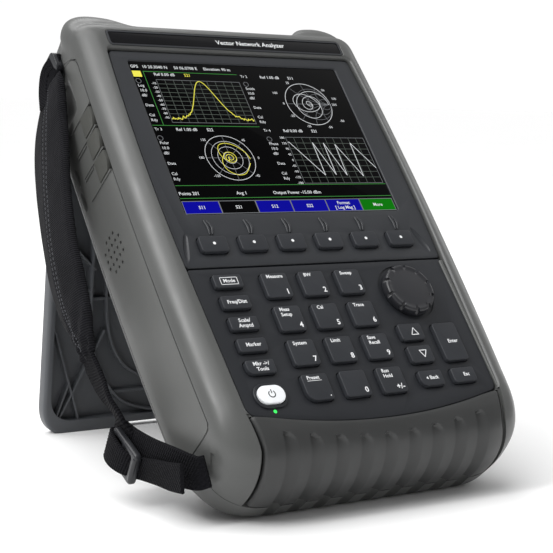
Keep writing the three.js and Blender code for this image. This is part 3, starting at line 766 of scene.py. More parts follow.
def build_flaps(middle):
    """Rubber flaps that stand a little proud, like pillows, with two dents each."""
    proud = cut(case_form(-FLAP_PROUD), middle, keep=True)
    for row in range(3):
        top, low = FLAP_ROWS[row] - 0.75, FLAP_ROWS[row + 1] + 0.95
        centre = (top + low) / 2
        lobe = [(low + 0.4, FLAP_FRONT - 2.0), (centre - 1, FLAP_FRONT + 0.1), (top - 1.2, FLAP_FRONT - 0.4)]
        outline = [(top, FLAP_REAR), *spline(lobe, 12)[::-1], (low, FLAP_FRONT - 3), (low, FLAP_REAR)]
        flap = common(side_prism(outline, *LEFT), proud, keep=True)
        cut(flap, scoop((-95.0, centre + 0.6, -17.6), (1.1, 3.0, 1.7)))
        cut(flap, scoop((-95.0, centre - 2.6, -17.2), (1.0, 0.8, 2.6)))
        bevel = flap.modifiers.new("bevel", "BEVEL")
        bevel.width, bevel.segments = 0.45, 2
        bevel.limit_method, bevel.angle_limit = "ANGLE", math.radians(50)
        name = f"port_flap_{row + 1}"
        place(settle(flap), f"{name}_skin", "flap_rubber", FLAP_RUBBER, 50, name)
    remove(proud)


def build_flap_lines(middle):
    """Raised lines between the flaps, and short ones further back on the side panel."""
    raised = cut(case_form(-0.6), middle, keep=True)
    pile = Pile()
    for row, y in enumerate(FLAP_ROWS):
        lines = [rounded(y + 0.1, -23.6, 1.0, 27, 0.45), rounded(y - 1.7, -31.2, 0.9, 11.6, 0.4)]
        for line in lines if row in (1, 2) else lines[:1]:
            pile.take(common(side_prism(line, *LEFT), raised, keep=True), GREY_PANEL)
    remove(raised)
    place(pile.build(), "side_ribs", "case_grey", GREY_PANEL, 40)


def build_door(skin):
    door = common(copy_of(skin), side_region(1, 0), door_region(0))
    for i in range(5):
        cut(door, scoop((95.2, -92 - i * 4, -22), (1.8, 1.3, 5.5)))
    place(door, "battery_door_skin", "case_grey", GREY_PANEL, body="battery_door")


def build_rear(outer):
    rear = common(copy_of(outer), block(-130, 130, -230, 130, -80, SEAM_REAR - GAP))
    cut(rear, case_form(3.0, 8, 12))
    y, z = STAND["y"], STAND["z"]
    half = [(y - 6.5, -59), (y - 5, z - 1), ((y - 4, z - 4), (y, z - 4))]
    cheek = curve(*half, ((y + 4, z - 4), (y + 5, z - 1)), (y + 6.5, -59))
    for x in (CENTRE_X - 58, CENTRE_X + 58):
        join(rear, side_prism(cheek, x - 6, x + 6))
    cut(rear, side_prism(circle(y, z, PIN_RADIUS, 20), -90, 90))
    for x in (CENTRE_X - 38, CENTRE_X + 38):
        for i in range(9):
            cut(rear, slab(rounded(x, 24 - i * 6, 40, 2.6, 1.2), -70, -50))
    label = rounded(CENTRE_X, -88, 92, 54, 4)
    cut(rear, slab(label, -70, -59.2, 0.4))
    feet = [(-62, -150), (63.6, -150), (-74, 38), (75.6, 38), (-78, -60), (79.6, -60)]
    for x, y in feet:
        cut(rear, slab(circle(x, y, 4.2, 28), -70, -58.6))
    place(rear, "rear_cover_skin", "case_dark", REAR_GREY)

    screws = Pile()
    for x, y in feet:
        head = slab(circle(x, y, 3.1, 24), -59.9, -58.4, 0, 0.6)
        for size in [(3.2, 0.8), (0.8, 3.2)]:
            cut(head, slab(rounded(x, y, *size, 0.2), -62, -59.2))
        screws.take(head, STEEL)
    place(screws.build(), "rear_screws", "pin_steel")


# ------------------------ fluted bumper


def form_y(x, z):
    """Height of the case's lower outline at x, at the depth z."""
    side = rounding(z, EDGE_SIDE)
    bottom = rounding(z, EDGE_BOTTOM, EDGE_BOTTOM_DEPTH)
    low, reach = BOTTOM_CORNER - 0.4 * bottom, SHOULDER - side
    off = abs(x - CENTRE_X)
    if off <= reach - low:
        return BOTTOM + bottom
    t = 1 - math.sqrt(max(reach - off, 0) / low)
    return BOTTOM + bottom + low * t * t


def bumper_profile(x, count):
    """Points (y, z) down the front of the bumper at x, evenly spaced, and their distance from the top."""
    x0, x1 = PANEL_LEFT + 10, PANEL_RIGHT - 10
    t = min(max((x1 - x) / (x1 - x0), 0), 1)
    edge = PANEL_SIDE - 0.7 + 2 * t * (1 - t) * 2 * (PANEL_BOTTOM - PANEL_SIDE) - GAP
    depths = [FRONT + 30 * (math.sin(a) - 1) for a in np.linspace(math.pi / 2, 0, 40)]
    points = [(form_y(x, z), z) for z in [*depths, -29.5, SEAM_CORNER]]
    if points[0][0] < edge:
        points = [(edge, FRONT), *points]
    else:
        after = next(i for i, p in enumerate(points) if p[0] < edge)
        (ya, za), (yb, zb) = points[after - 1], points[after]
        points = [(edge, za + (ya - edge) / (ya - yb) * (zb - za)), *points[after:]]
    points = np.array(points)
    along = np.concatenate([[0], np.cumsum(np.linalg.norm(np.diff(points, axis=0), axis=1))])
    even = np.linspace(0, along[-1], count)
    return np.column_stack([np.interp(even, along, points[:, k]) for k in (0, 1)]), even


def bumper_depth(share, along, length, near):
    """How deep the skin lies: across a flute (share 0 to 1), down from the top, and near a side edge."""
    depth = 0
    if 0 < share < 1:
        top = 7.2 + 5.2 * max((share - 0.25) / 0.75, 0) ** 2 + 1.4 * max((0.25 - share) / 0.25, 0) ** 2
        arch = min(max((along - top) / 0.9, 0), 1)
        depth = FLUTE_DEPTH * math.sin(math.pi * share**0.42) * arch * arch * (3 - 2 * arch)
    rounds = [(1.6, near, 2.4), (0.9, along, 1.2), (0.5, length - along, 0.9)]
    for amount, distance, reach in rounds:
        depth += amount * max(1 - distance / reach, 0) ** 2
    return depth


def build_bumper():
    steps = [-7.2, -5.8, -4.8, -4.2, -3.95, -3.75, -3.4, -2.9, -2.2]
    steps += [-1.4, -0.4, 0.8, 2.0, 3.0, 3.7, 4.1, 4.8, 5.8]
    left, right, count = -74.2, 75.8, 64
    columns = sorted({round(x + s, 3) for x in FLUTES for s in steps})
    columns = [c for c in columns if left + 3 < c < right - 3]
    columns = [left, left + 0.3, left + 0.8, left + 1.6, left + 2.4, *columns]
    columns += [right - 2.4, right - 1.6, right - 0.8, right - 0.3, right]
    grid, depth = np.zeros((len(columns), count, 3)), np.zeros((len(columns), count))
    for i, x in enumerate(columns):
        profile, along = bumper_profile(x, count)
        near = min(x - left, right - x)
        pull = max(1 - near / 14, 0) * (1 if x < 0 else -1)
        share = (min((x - f for f in FLUTES), key=abs) / FLUTE_HALF + 1) / 2
        for j in range(count):
            shifted = x + pull * np.interp(-profile[j, 0], [165, 181, 215], [0, 3.0, 0.5])
            point = bumper_profile(shifted, count)[0][j] if pull else profile[j]
            grid[i, j] = (shifted, *point)
            depth[i, j] = bumper_depth(share, along[j], along[-1], near)
    normal = np.cross(np.gradient(grid, axis=1), np.gradient(grid, axis=0))
    normal /= np.linalg.norm(normal, axis=2)[..., None]
    if normal[len(columns) // 2, 4, 2] < 0:
        normal = -normal
    front, back = grid - normal * depth[..., None], grid - normal * BUMPER_THICK
    rows = [np.concatenate([front[i], back[i][::-1]]) for i in range(len(columns))]
    place(loft(rows), "bottom_bumper_skin", "case_dark", BUMPER, 24)


# ------------------------ face


def build_strip():
    rim = slab(rounded(*STRIP_CENTRE, *STRIP_SIZE, 2), 1.25, 1.9, 0.3)
    cut(rim, slab(rounded(*STRIP_CENTRE, *(STRIP_SIZE - 2.2), 1.2), 1.0, 3))
    pile = Pile()
    pile.take(rim, SLATE)
    pile.take(slab(rounded(*STRIP_CENTRE, *(STRIP_SIZE - 2.3), 1.1), 1.3, 1.6, 0.1), STRIP_BLACK)
    pile.write("Vector Network Analyzer", -8, STRIP_CENTRE[1], 1.61, 4.2, INK, bold=0.05)
    place(pile.build(), "name_strip_skin", "strip_gloss")


# Each key: its node, middle, width, height and corner radii from the lower left one on.
SOFT_KEYS = [(f"softkey_{i + 1}", -58.5 + i * 23.15, -69.4, 15.6, 9.2, [1.6] * 4) for i in range(6)]
FUNCTION_KEYS = [
    (f"function_key_{i + 1}", -58.7, -91.5 - i * 12.1, 15.8, 7.3, [3.4 if i == 4 else 1.2, 1.2, 1.2, 1.2])
    for i in range(5)
]
DIGITS = ["1", "2", "3", "4", "5", "6", "7", "8", "9", "point", "0", "sign"]
NUMBER_KEYS = [
    (f"key_{name}", -31.9 + (i % 3) * 22.25, -95.3 - (i // 3) * 19.4, 14.8, 14.2, [1.4] * 4)
    for i, name in enumerate(DIGITS)
]
NUMBER_KEYS[9] = (*NUMBER_KEYS[9][:5], [5.0, 1.4, 1.4, 1.4])
OTHER_KEYS = [
    ("key_up", 37, -127.4, 14.4, 9.6, [1.4] * 4),
    ("key_down", 37, -140.6, 14.4, 9.6, [1.4] * 4),
    ("key_enter", 58.9, -134.8, 14.6, 22.3, [1.6] * 4),
    ("key_back", 37, -154.7, 14.4, 8.6, [3.8, 1.4, 1.4, 1.4]),
    ("key_escape", 58.1, -154.6, 14.6, 8.2, [1.4] * 4),
]
POWER_KEY = ("power_key", -58.6, -154.9, 14.8, 9.6, [4.6] * 4)
KEY_TOP, KEY_GAP = 2.3, 0.35
LAMP = (-58.8, -163)


def cut_key_hole(panel, key, mouth=0, roll=0.35, sharper=0):
    _, x, y, w, h, radii = key
    ring = rounded(x, y, w + 2 * KEY_GAP, h + 2 * KEY_GAP, [r + KEY_GAP - sharper for r in radii])
    cut(panel, flared(ring, -6, mouth, roll))


def build_bezel():
    bezel = slab(half_panel(True), PANEL_FLOOR, 0, 0.9)
    for _, x, y, *_ in SOFT_KEYS:
        for lean, top, bend in [(0.4, -54.0, 1.1), (2.0, -54.1, 2.5)]:
            start = (x + lean, top, 0.1)
            path = spline([start, (x + bend + 0.5 * (start[0] - x), -58.4, 0.15), (x + bend, -62.6, 0.0)], 12)
            join(bezel, tube(path, 0.8 * np.sin(np.linspace(0.35, math.pi - 0.35, 12)) ** 0.5, 12))
    cut(bezel, flared(rounded(0, 0, 2 * SCREEN_W + 0.6, 2 * SCREEN_H + 0.6, 1.5), -2, 0, 0.8))
    cut(bezel, slab(rounded(0, 0, 2 * SCREEN_W - 4, 2 * SCREEN_H - 4, 1.2), -6, 3))
    for key in SOFT_KEYS:
        cut_key_hole(bezel, key)
    cut(bezel, scoop((71.6, -69.8, 0.7), (2.2, 9.4, 1.9), 20))
    cut(bezel, scoop((-73.4, -69.8, 0.7), (1.9, 9.4, 1.8), -14))
    place(bezel, "display_bezel_skin", "face_dark", SLATE, 28)


def build_keypad():
    panel = slab(half_panel(False), PANEL_FLOOR, 0, 0.8)
    for key in [*FUNCTION_KEYS, *NUMBER_KEYS, *OTHER_KEYS]:
        cut_key_hole(panel, key)
    _, x, y, w, h, _ = POWER_KEY
    ring_width, ring_top = 1.8, 1.3
    ring = rounded(x, y, w + 2 * ring_width, h + 2 * ring_width, 6.2)
    join(panel, slab(ring, -1, ring_top, 0.7))
    cut_key_hole(panel, POWER_KEY, ring_top, 0.5, 0.05)
    well = circle(KNOB["x"], KNOB["y"], KNOB["r"] + 2, 72)
    cut(panel, cut(slab(well, -0.9, 3), slab(well, -2, -0.6)))
    cut(panel, slab(circle(KNOB["x"], KNOB["y"], 3.6, 32), -6, 4))
    cut(panel, slab(circle(*LAMP, 1.0, 20), -6, 4))
    place(panel, "keypad_panel_skin", "face_dark", SLATE_LOW, 28)
    lip = slab(rounded(78.4, -123.6, 2.5, 79.4, 1.1), -1, 0.95, 0.8, 0, 4)
    place(lip, "keypad_lip", "case_grey", GREY_PANEL, 40)
    lamp = lathe([(0, -2), (0.9, -2), (0.9, -0.1), (0.7, 0.15), (0, 0.25)], 20)
    green = glowing("lamp_green", (0.05, 0.9, 0.12), 1.6)
    place(moved(lamp, Matrix.Translation((*LAMP, 0))), "status_lamp", "face_dark", green)


def build_key(key, ink, material=KEY_RUBBER):
    """One key with its printed legend, riding on its own body."""
    name, x, y, w, h, radii = key
    cap = slab(rounded(x, y, w, h, radii), -5, KEY_TOP, 0.5, 0, 4)
    slot = "power_key" if name == "power_key" else "key_rubber"
    place(cap, f"{name}_cap", slot, material, 40, name)
    place(ink.build(), f"{name}_legend", slot, None, 60, name)


def build_keys():
    z, thick = KEY_TOP + 0.01, 0.04
    for key in SOFT_KEYS:
        ink = Pile()
        ink.take(slab(circle(key[1] + 0.2, key[2] + 0.2, 0.85, 18), z, z + thick), INK)
        build_key(key, ink)

    words = [["Mode"], ["Freq/Dist"], ["Scale/", "Amptd"], ["Marker"], ["Mkr ->/", "Tools"]]
    for key, lines in zip(FUNCTION_KEYS, words):
        ink, x, y = Pile(), key[1] + 0.4, key[2]
        for i, line in enumerate(lines):
            lift = 0 if len(lines) == 1 else 1.45 - 2.9 * i
            ink.write(line, x, y + lift, z, 2.9, INK, "CENTER", 0.05)
        if lines == ["Mode"]:
            ink.stroke(rounded(x, y, 9.6, 4.0, 0.2, 1), 0.32, z, INK, thick, True)
        build_key(key, ink)

    words = ["Measure", "BW", "Sweep", "Meas/Setup", "Cal", "Trace", "System", "Limit", "Save/Recall"]
    marks = ["1", "2", "3", "4", "5", "6", "7", "8", "9", ".", "0", "+/-"]
    for key, word, mark in zip(NUMBER_KEYS, [*words, "Preset", "", "Run/Hold"], marks):
        ink, x, y = Pile(), key[1], key[2]
        for i, line in enumerate(word.split("/")):
            ink.write(line, x - 4.6, y + 5.0 - 2.9 * i, z, 2.8, INK, "LEFT", 0.05)
        if word == "Preset":
            ink.stroke([(x - 4.6, y + 3.4), (x + 3.4, y + 3.4)], 0.25, z, INK, thick)
        ink.write(mark, x + 5.9, y - 4.2, z, 4.2, INK, "RIGHT", 0.08)
        build_key(key, ink)

    for key, word in zip(OTHER_KEYS, ["", "", "Enter", "Back", "Esc"]):
        ink, (name, x, y, *_) = Pile(), key
        if word:
            ink.write(word, x + 1.4, y, z, 2.9, INK, "CENTER", 0.05)
        else:
            up = 1 if name == "key_up" else -1
            triangle = [(x - 0.6, y - 1.9 * up), (x + 3.8, y - 1.9 * up), (x + 1.6, y + 2.1 * up)]
            ink.stroke(triangle, 0.42, z, INK, thick, True)
        if name == "key_back":
            ink.take(slab([(x - 3.6, y), (x - 2.4, y + 0.9), (x - 2.4, y - 0.9)], z, z + thick), INK)
        build_key(key, ink)

    ink, (_, x, y, *_) = Pile(), POWER_KEY
    turns = np.radians(np.linspace(38, 322, 25))
    ink.stroke([(x + 1.75 * math.sin(a), y + 1.75 * math.cos(a)) for a in turns], 0.5, z, KEY_RUBBER, thick)
    ink.stroke([(x, y + 0.5), (x, y + 2.3)], 0.5, z, KEY_RUBBER, thick)
    build_key(POWER_KEY, ink, POWER_WHITE)


def build_knob():
    r, top = KNOB["r"], KNOB["top"]
    profile = [(0, 0.4), (r - 0.3, 0.4), (r, 0.8), (r, 2.6), (r - 0.2, top - 1.1), (r - 0.5, top - 0.5)]
    profile += [(r - 1.0, top - 0.12), (r - 1.5, top), (r - 2.1, top - 0.1), (r - 2.9, top - 0.38)]
    profile += [(r - 4.4, top - 0.3), (7, top - 0.02), (3, top + 0.1), (0, top + 0.12)]
    cap = join(lathe(profile, 120), slab(circle(0, 0, 3, 24), -9, 1))
    notch = [(1.5, 1.2), (0.0, 3.4), (-1.9, top + 0.1), (-4.0, top + 0.9)]  # beyond the rim, height
    first, count = 12.0, 10
    for i in range(count):
        a = math.radians(first + i * 360 / count)
        path = [((r + k) * math.cos(a), (r + k) * math.sin(a), z) for k, z in notch]
        cut(cap, tube(path, [1.2, 1.2, 1.15, 1.0], 16))
    cap = moved(cap, Matrix.Translation((KNOB["x"], KNOB["y"], 0)))
    place(cap, "knob_cap", "knob_rubber", KNOB_RUBBER, 35, "knob")


# ------------------------ display

WHITE = glowing("screen_white", (0.80, 0.82, 0.84), 0.85)
GREY_LINE = glowing("screen_grey", (0.30, 0.31, 0.33), 0.55)
GREEN_LINE = glowing("screen_green", (0.08, 0.42, 0.08), 0.55)
GRID_GREEN = glowing("screen_grid", (0.16, 0.19, 0.165), 0.6)
YELLOW = glowing("screen_yellow", (0.92, 0.86, 0.10), 0.9)
BLUE = glowing("screen_blue", (0.0, 0.0, 0.30), 1.0)
GREEN_CELL = glowing("screen_more", (0.0, 0.16, 0.0), 1.0)
SCREEN_Z = -0.59
TRACE_Z, SOFT_LABEL_Z = SCREEN_Z + 0.03, SCREEN_Z + 0.06


def screen_text(ink, x, y, text, size, paint=WHITE, align="LEFT", bold=0.0, z=SCREEN_Z):
    ink.write(text, x, y, z, size, paint, align, bold)


def screen_grid(ink, x0, x1, y0, y1, across, down):
    for i in range(across + 1):
        x = x0 + (x1 - x0) * i / across
        ink.stroke([(x, y0), (x, y1)], 0.2, SCREEN_Z, GRID_GREEN)
    for i in range(down + 1):
        y = y0 + (y1 - y0) * i / down
        ink.stroke([(x0, y), (x1, y)], 0.2, SCREEN_Z, GRID_GREEN)
    ink.stroke(box(x0, x1, y0, y1), 0.26, SCREEN_Z, GREY_LINE, closed=True)


def draw_headings(ink):
    screen_text(ink, -66, 46.4, "GPS   10 20.3040 N     50 06.0708 E     Elevation: 90 m", 2.75, bold=0.02)
    for a, b in [((-59.4, 43.2), (-1.6, 43.2)), ((-59.4, 7.0), (-59.4, 43.2)), ((-66, 6.9), (-1.0, 6.9))]:
        ink.stroke([a, b], 0.3, SCREEN_Z, GREEN_LINE)
    ink.tile(box(-66.1, -61, 39.4, 43.4), SCREEN_Z, YELLOW)
    for x, y, trace, ref, name in [
        (-66.2, 41.4, "", "Ref 0.00 dB", "S21"),
        (0.4, 42.0, "Tr 2", "Ref 1.00 dB", "S11"),
        (-65.6, 4.3, "Tr 3", "Ref 1.00 dB", "S22"),
        (0.8, 4.4, "Tr 4", "Ref 0.00 dB", "S21"),
    ]:
        if trace:
            screen_text(ink, x, y, trace, 2.5)
        screen_text(ink, x + 12.6, y, ref, 2.7, bold=0.02)
        screen_text(ink, x + 31, y, name, 2.7, WHITE if trace else YELLOW, bold=0.02)
    for x, y, kind in [(-64.8, 0, "Log"), (1.4, 0, "Smith"), (-64.8, -38, "Polar"), (1.6, -38, "Phase")]:
        ink.stroke(circle(x + 0.6, y + 36.6, 1.5, 16), 0.25, SCREEN_Z, GREY_LINE, closed=True)
        for i, line in enumerate([kind, "10.0", "dB/", "", "Data", "", "Cal", "Rdy"]):
            if line:
                screen_text(ink, x - 0.8, y + 33.4 - i * 3.3, line, 2.5)


def draw_bell(ink):
    """The upper left window: a filter's pass band over noise, and the scales of both left and right."""
    screen_grid(ink, -53.4, -2.0, 9.0, 37.8, 10, 10)
    bell = []
    for i in range(90):
        x = -52.9 + 50.4 * (i / 89)
        rise = math.exp(-(((x + 27.5) / 9.4) ** 2))
        noise = (1 - min(rise * 3, 1)) * random.uniform(-0.9, 1.0)
        bell.append((x, 11.4 + 26 * rise + (2.2 if rise < 0.05 else 0) * math.sin(x) ** 2 * 0.3 + noise))
    ink.stroke(bell, 0.42, TRACE_Z, YELLOW)
    for i in range(1, 10):
        screen_text(ink, -54.2, 38.0 - 2.88 * i, f"-{10 * i}", 2.1, align="RIGHT")
    for i, label in enumerate(["180", "135", "90", "45", "0", "-45", "-90", "-135", "-180"]):
        screen_text(ink, 12.2, -0.4 - 3.8 * i, label, 2.1, align="RIGHT")


def draw_smith(ink):
    """The upper right window: a Smith chart and its locus."""
    figures = [(18.6, 31, 100), (21.6, 23.6, 0), (24, 15, -25), (52, 34, 50), (57, 28, 100), (56, 12, -50)]
    for x, y, figure in [*figures, (55.5, 23.6, 250), (30, 38.6, 25), (32, 7.9, -25), (46, 7.4, -50)]:
        screen_text(ink, x, y, str(figure), 2.2, align="CENTER")
    cx, cy, r = 38.2, 23.6, 14.6
    ink.stroke(circle(cx, cy, r, 56), 0.3, SCREEN_Z, WHITE, closed=True)
    for k in (0.25, 0.5, 0.75):
        ink.stroke(circle(cx + r * k, cy, r * (1 - k), 40), 0.18, SCREEN_Z, GREY_LINE, closed=True)
    turns = np.linspace(0, 2 * math.pi, 90)
    for k in (0.5, 1.0, 2.0):
        for s in (-1, 1):
            arc = [(cx + r + r * k * math.cos(a), cy + s * r * k + r * k * math.sin(a)) for a in turns]
            ink.stroke([p for p in arc if math.dist(p, (cx, cy)) < r], 0.18, SCREEN_Z, GREY_LINE)
    ink.stroke([(cx - r, cy), (cx + r, cy)], 0.2, SCREEN_Z, GREY_LINE)
    locus = []
    for t in np.linspace(0, 26, 210):
        reach = (11.6 - 0.44 * t) * (1 + 0.16 * math.cos(1.37 * t))
        locus.append((cx + 1.6 * math.sin(0.6 * t) + reach * math.cos(t), cy + 0.9 * reach * math.sin(t)))
    ink.stroke(locus, 0.26, TRACE_Z, WHITE)


def draw_polar(ink):
    """The lower left window: a polar chart with one looping trace."""
    cx, cy, r = -27.0, -14.1, 14.5
    for k in (0.25, 0.5, 0.75, 1.0):
        ink.stroke(circle(cx, cy, r * k, 48), 0.28 if k == 1 else 0.2, SCREEN_Z, WHITE, closed=True)
    for a in np.radians(range(0, 180, 45)):
        dx, dy = r * math.cos(a), r * math.sin(a)
        ink.stroke([(cx - dx, cy - dy), (cx + dx, cy + dy)], 0.18, SCREEN_Z, GREY_LINE)
    for degrees in (0, 45, 135, 180, -135, -45):
        a = math.radians(degrees % 360)
        screen_text(ink, cx + 17.4 * math.cos(a), cy + 16.6 * math.sin(a), str(degrees), 2.2, align="CENTER")
    start = [(0.92, -0.05), (0.78, 0.3), (0.42, 0.62), (0, 0.74), (-0.34, 0.62), (-0.44, 0.3), (-0.34, 0.0)]
    end = [(-0.24, 0.18), (-0.44, -0.2), (-0.36, -0.6), (0, -0.84), (0.38, -0.82), (0.62, -0.6)]
    trace = [(cx + 13 * u, cy + 13 * v) for u, v in spline([*start, (-0.1, -0.16)], 60)]
    for t in np.linspace(2.4, 15, 90):
        trace.append((cx + (0.3 + 0.26 * t) * math.cos(t), cy + (0.3 + 0.24 * t) * math.sin(t)))
    trace += [(cx + 13 * u, cy + 13 * v) for u, v in spline([*end, (0.84, -0.28)], 50)]
    ink.stroke(trace, 0.32, TRACE_Z, YELLOW)


def draw_phase(ink):
    """The lower right window: a phase trace that wraps."""
    screen_grid(ink, 13.0, 64.8, -31.0, 0.0, 10, 8)
    saw = [(13.4, -3.4), (14, -3.4), (28.6, -25.6), (29.2, -3.6), (35.8, -25.3), (36.3, -3.8), (42.9, -25.7)]
    saw += [(43.7, -4.7), (53.6, -26.4), (54.4, -3.6), (64.6, -20.7)]
    ink.stroke(saw, 0.36, TRACE_Z, WHITE)


def draw_footer(ink):
    for y in (-31.8, -39.8):
        ink.stroke([(-66, y), (66, y)], 0.3, SCREEN_Z, GREEN_LINE)
    for x, text in [(-65.8, "Points 201"), (-32, "Avg 1"), (-9.6, "Output Power -15.00 dBm")]:
        screen_text(ink, x, -36.9, text, 2.8, bold=0.02)
    edges = [-66.1, -44.7, -22.7, -1.1, 21.1, 43.3, 65.6]
    labels = [["S11"], ["S21"], ["S12"], ["S22"], ["Format", "[ Log Mag ]"], ["More"]]
    fills = [BLUE, None, BLUE, BLUE, BLUE, GREEN_CELL]
    for x0, x1, lines, fill in zip(edges, edges[1:], labels, fills):
        if fill:
            ink.tile(box(x0 + 0.3, x1 - 0.3, -49.2, -41.9), SCREEN_Z, fill)
        frame_line = box(x0 + 0.15, x1 - 0.15, -49.4, -41.7)
        ink.stroke(frame_line, 0.34, SCREEN_Z + 0.02, GREY_LINE, closed=True)
        for i, line in enumerate(lines):
            lift = 0 if len(lines) == 1 else 1.5 - 3.0 * i
            screen_text(ink, (x0 + x1) / 2, -45.7 + lift, line, 2.8, WHITE, "CENTER", 0.03, SOFT_LABEL_Z)


def build_display():
    window = slab(rounded(0, 0, 2 * SCREEN_W, 2 * SCREEN_H, 1.2), -1.7, -0.6, 0.2)
    place(window, "display_window_skin", "window", GLASS_BLACK)
    ink = Pile()
    for draw in (draw_headings, draw_bell, draw_smith, draw_polar, draw_phase, draw_footer):
        draw(ink)
    place(ink.build(), "display_picture", "window", angle=60)


# ------------------------ connectors on top


def cross_head(x, z):
    head = upright_prism(circle(x, z, 1.9, 20), 80.05, 81.1, 0.4)
    for size in [(2.4, 0.6), (0.6, 2.4)]:
        cut(head, upright_prism(rounded(x, z, *size, 0.1), 80.7, 83))
    return head


def build_connectors():
    plate = upright_prism(rounded(1.5, PORT_Z, 78.2, 29.2, 2.4), 75.2, 77.6, 0.6)
    for x in PORTS:
        cut(plate, upright_prism(circle(x, PORT_Z, 8.2, 40), 60, 90))
    place(plate, "connector_plate_skin", "plate_black", SLATE_LOW)

    thread, pitch = [], 1.06
    for y in [83.2 + k * pitch for k in range(9)]:
        thread += [(7.3, y), (7.9, y + 0.35), (7.9, y + 0.55), (7.3, y + 0.95)]
    shell = [(0, 70), (7.6, 70), (7.6, 82), (7.1, 82.4), (7.1, 83), *thread, (7.3, 93.1), (7.1, 94)]
    shell += [(5.6, 94), (5.2, 93.2), (4.9, 88), (4.05, 87.6), (4.05, 84.5), (0, 84.5)]
    insulator = [(0, 84.4), (3.9, 84.4), (3.9, 85.6), (0, 85.6)]
    contact = [(0, 85), (1.6, 85), (1.6, 90.6), (1.3, 91), (0.85, 91), (0.8, 87), (0, 87)]
    for i, x in enumerate(PORTS):
        pile = Pile()
        stand_up = Matrix.Translation((x, 0, PORT_Z)) @ UPRIGHT
        for profile, paint in [(shell, NICKEL), (insulator, PTFE), (contact, GOLD)]:
            pile.take(moved(lathe(profile, 56), stand_up), paint)
        flange = upright_prism(rounded(x, PORT_Z, 22, 22, 3), 77.9, 80.1, 0.4)
        pile.take(cut(flange, upright_prism(circle(x, PORT_Z, 7.4, 40), 70, 90)), NICKEL)
        for sx in (-1, 1):
            for sz in (-1, 1):
                pile.take(cross_head(x + sx * 7.9, PORT_Z + sz * 7.9), STEEL)
        place(pile.build(), f"rf_port_{i + 1}_skin", "port_metal")


# ------------------------ strap

# Height on the case, outermost x, how far the edges turn in, and z of the rear edge, bend and front edge.
PAD_ROUTE = [
    (61, -94.4, 0.8, -49, -35, -23),
    (54, -95.4, 1.4, -61, -37.2, -22.5),
    (46, -96.9, 2.4, -69.5, -39.9, -25.1),
    (34, -99.1, 3.4, -75.5, -43.4, -28.9),
    (20, -101.8, 3.6, -77.2, -47.2, -31.1),
    (5, -105.0, 3.6, -76.4, -49.7, -33.4),
    (-10, -107.9, 3.6, -75.5, -51.5, -35.2),
    (-25, -110.4, 3.6, -74.8, -53.2, -36.5),
    (-40, -112.3, 3.6, -74.6, -54.0, -37.8),
    (-54, -113.0, 3.6, -74.0, -56.0, -38.8),
    (-66, -113.3, 3.4, -71.8, -57.0, -40.8),
    (-76, -112.7, 2.6, -68.1, -57.0, -43.4),
    (-85, -112.0, 1.6, -65.6, -58.1, -47.6),
    (-94, -111.0, 1.0, -65.4, -59.1, -51.8),
]
# Webbing: x, y and z of its middle, its width, and the turns of its width from z to y and then to -x.
HANGING = [
    (-111.2, -84, -57.4, 13, 0, 0),
    (-110.8, -91.1, -57.9, 13, -8, 10),
    (-110.2, -97.5, -59.5, 16, -14, 8),
    (-109.2, -104.8, -59.8, 18, -18, 10),
    (-108.0, -111.7, -60.0, 19, -18, 14),
    (-106.6, -119.6, -59.4, 20, -14, 26),
    (-105.0, -127.1, -59.2, 20, -4, 26),
    (-103.6, -133, -61.5, 19, 12, 12),
    (-102.4, -139.5, -63.5, 18, 22, 0),
]
RETURNING = [
    (-102.2, -134, -65, 15, 26, 0),
    (-101.8, -144.5, -58.5, 18, 32, 0),
    (-100.4, -156.5, -48, 19, 36, 0),
    (-98.2, -168.5, -35, 18.5, 37, 0),
    (-95.0, -177, -25.8, 17, 37, 0),
    (-91.2, -179, -21.5, 16, 37, 0),
]
TAIL = [
    (-103.0, -148.5, -64.0, 14, 25, 0),
    (-102.9, -139.4, -68.1, 15, 25, 0),
    (-104.2, -134.6, -71.2, 16, 25, 0),
    (-107.4, -134.2, -71.4, 16.5, 25, 0),
    (-109.3, -138.3, -69.3, 16.5, 25, 0),
    (-109.6, -143.7, -66.5, 15.5, 25, 0),
    (-108.4, -149.8, -63.2, 13, 28, 0),
    (-104.8, -155.0, -59.2, 12, 34, 0),
    (-102.8, -159.5, -54.2, 11.6, 38, 0),
    (-103.4, -167, -43, 12.4, 36, 0),
    (-104.2, -174.5, -32.3, 13.4, 34, 0),
    (-104.5, -180.5, -22.8, 14, 33, 0),
]
ANCHOR_LOOP = [
    (-90.2, 70.5, -24.5, 7, -90, 0),
    (-92.6, 71.8, -29, 8, -82, 0),
    (-94.6, 70.4, -36, 9, -52, 0),
    (-95.8, 63.5, -41.5, 10, -20, 0),
    (-96.6, 54, -45, 11, 0, 0),
]
SECOND_LOOP = [
    (-91.0, 66.5, -25.0, 6, -70, 0),
    (-93.6, 64.8, -29, 7, -52, 0),
    (-95.6, 59.5, -33, 8, -20, 0),
    (-96.4, 50, -35, 9, 0, 0),
]


def fabric(name, color, ribs, angle, sheen):
    """Woven fabric: fine ribs at an angle, crossed by a looser thread."""
    paint = Paint(name, color, 0.85).vary(60, 0.2)
    for turn, scale, strength in [(angle, ribs, 0.9), (angle + 90, ribs * 0.8, 0.35)]:
        mapping = paint.node("ShaderNodeMapping", Rotation=(math.radians(turn), 0, 0))
        wave = paint.node("ShaderNodeTexWave", Scale=scale, Distortion=0.5, Detail=1.0)
        wave.bands_direction = "Z"
        paint.links.new(paint.place, mapping.inputs["Vector"])
        paint.links.new(mapping.outputs["Vector"], wave.inputs["Vector"])
        paint.bump(wave.outputs["Fac"], strength, 0.0005)
    paint.fill(paint.shader, Sheen_Weight=sheen, Sheen_Roughness=0.4)
    return paint.shine(0.12).material


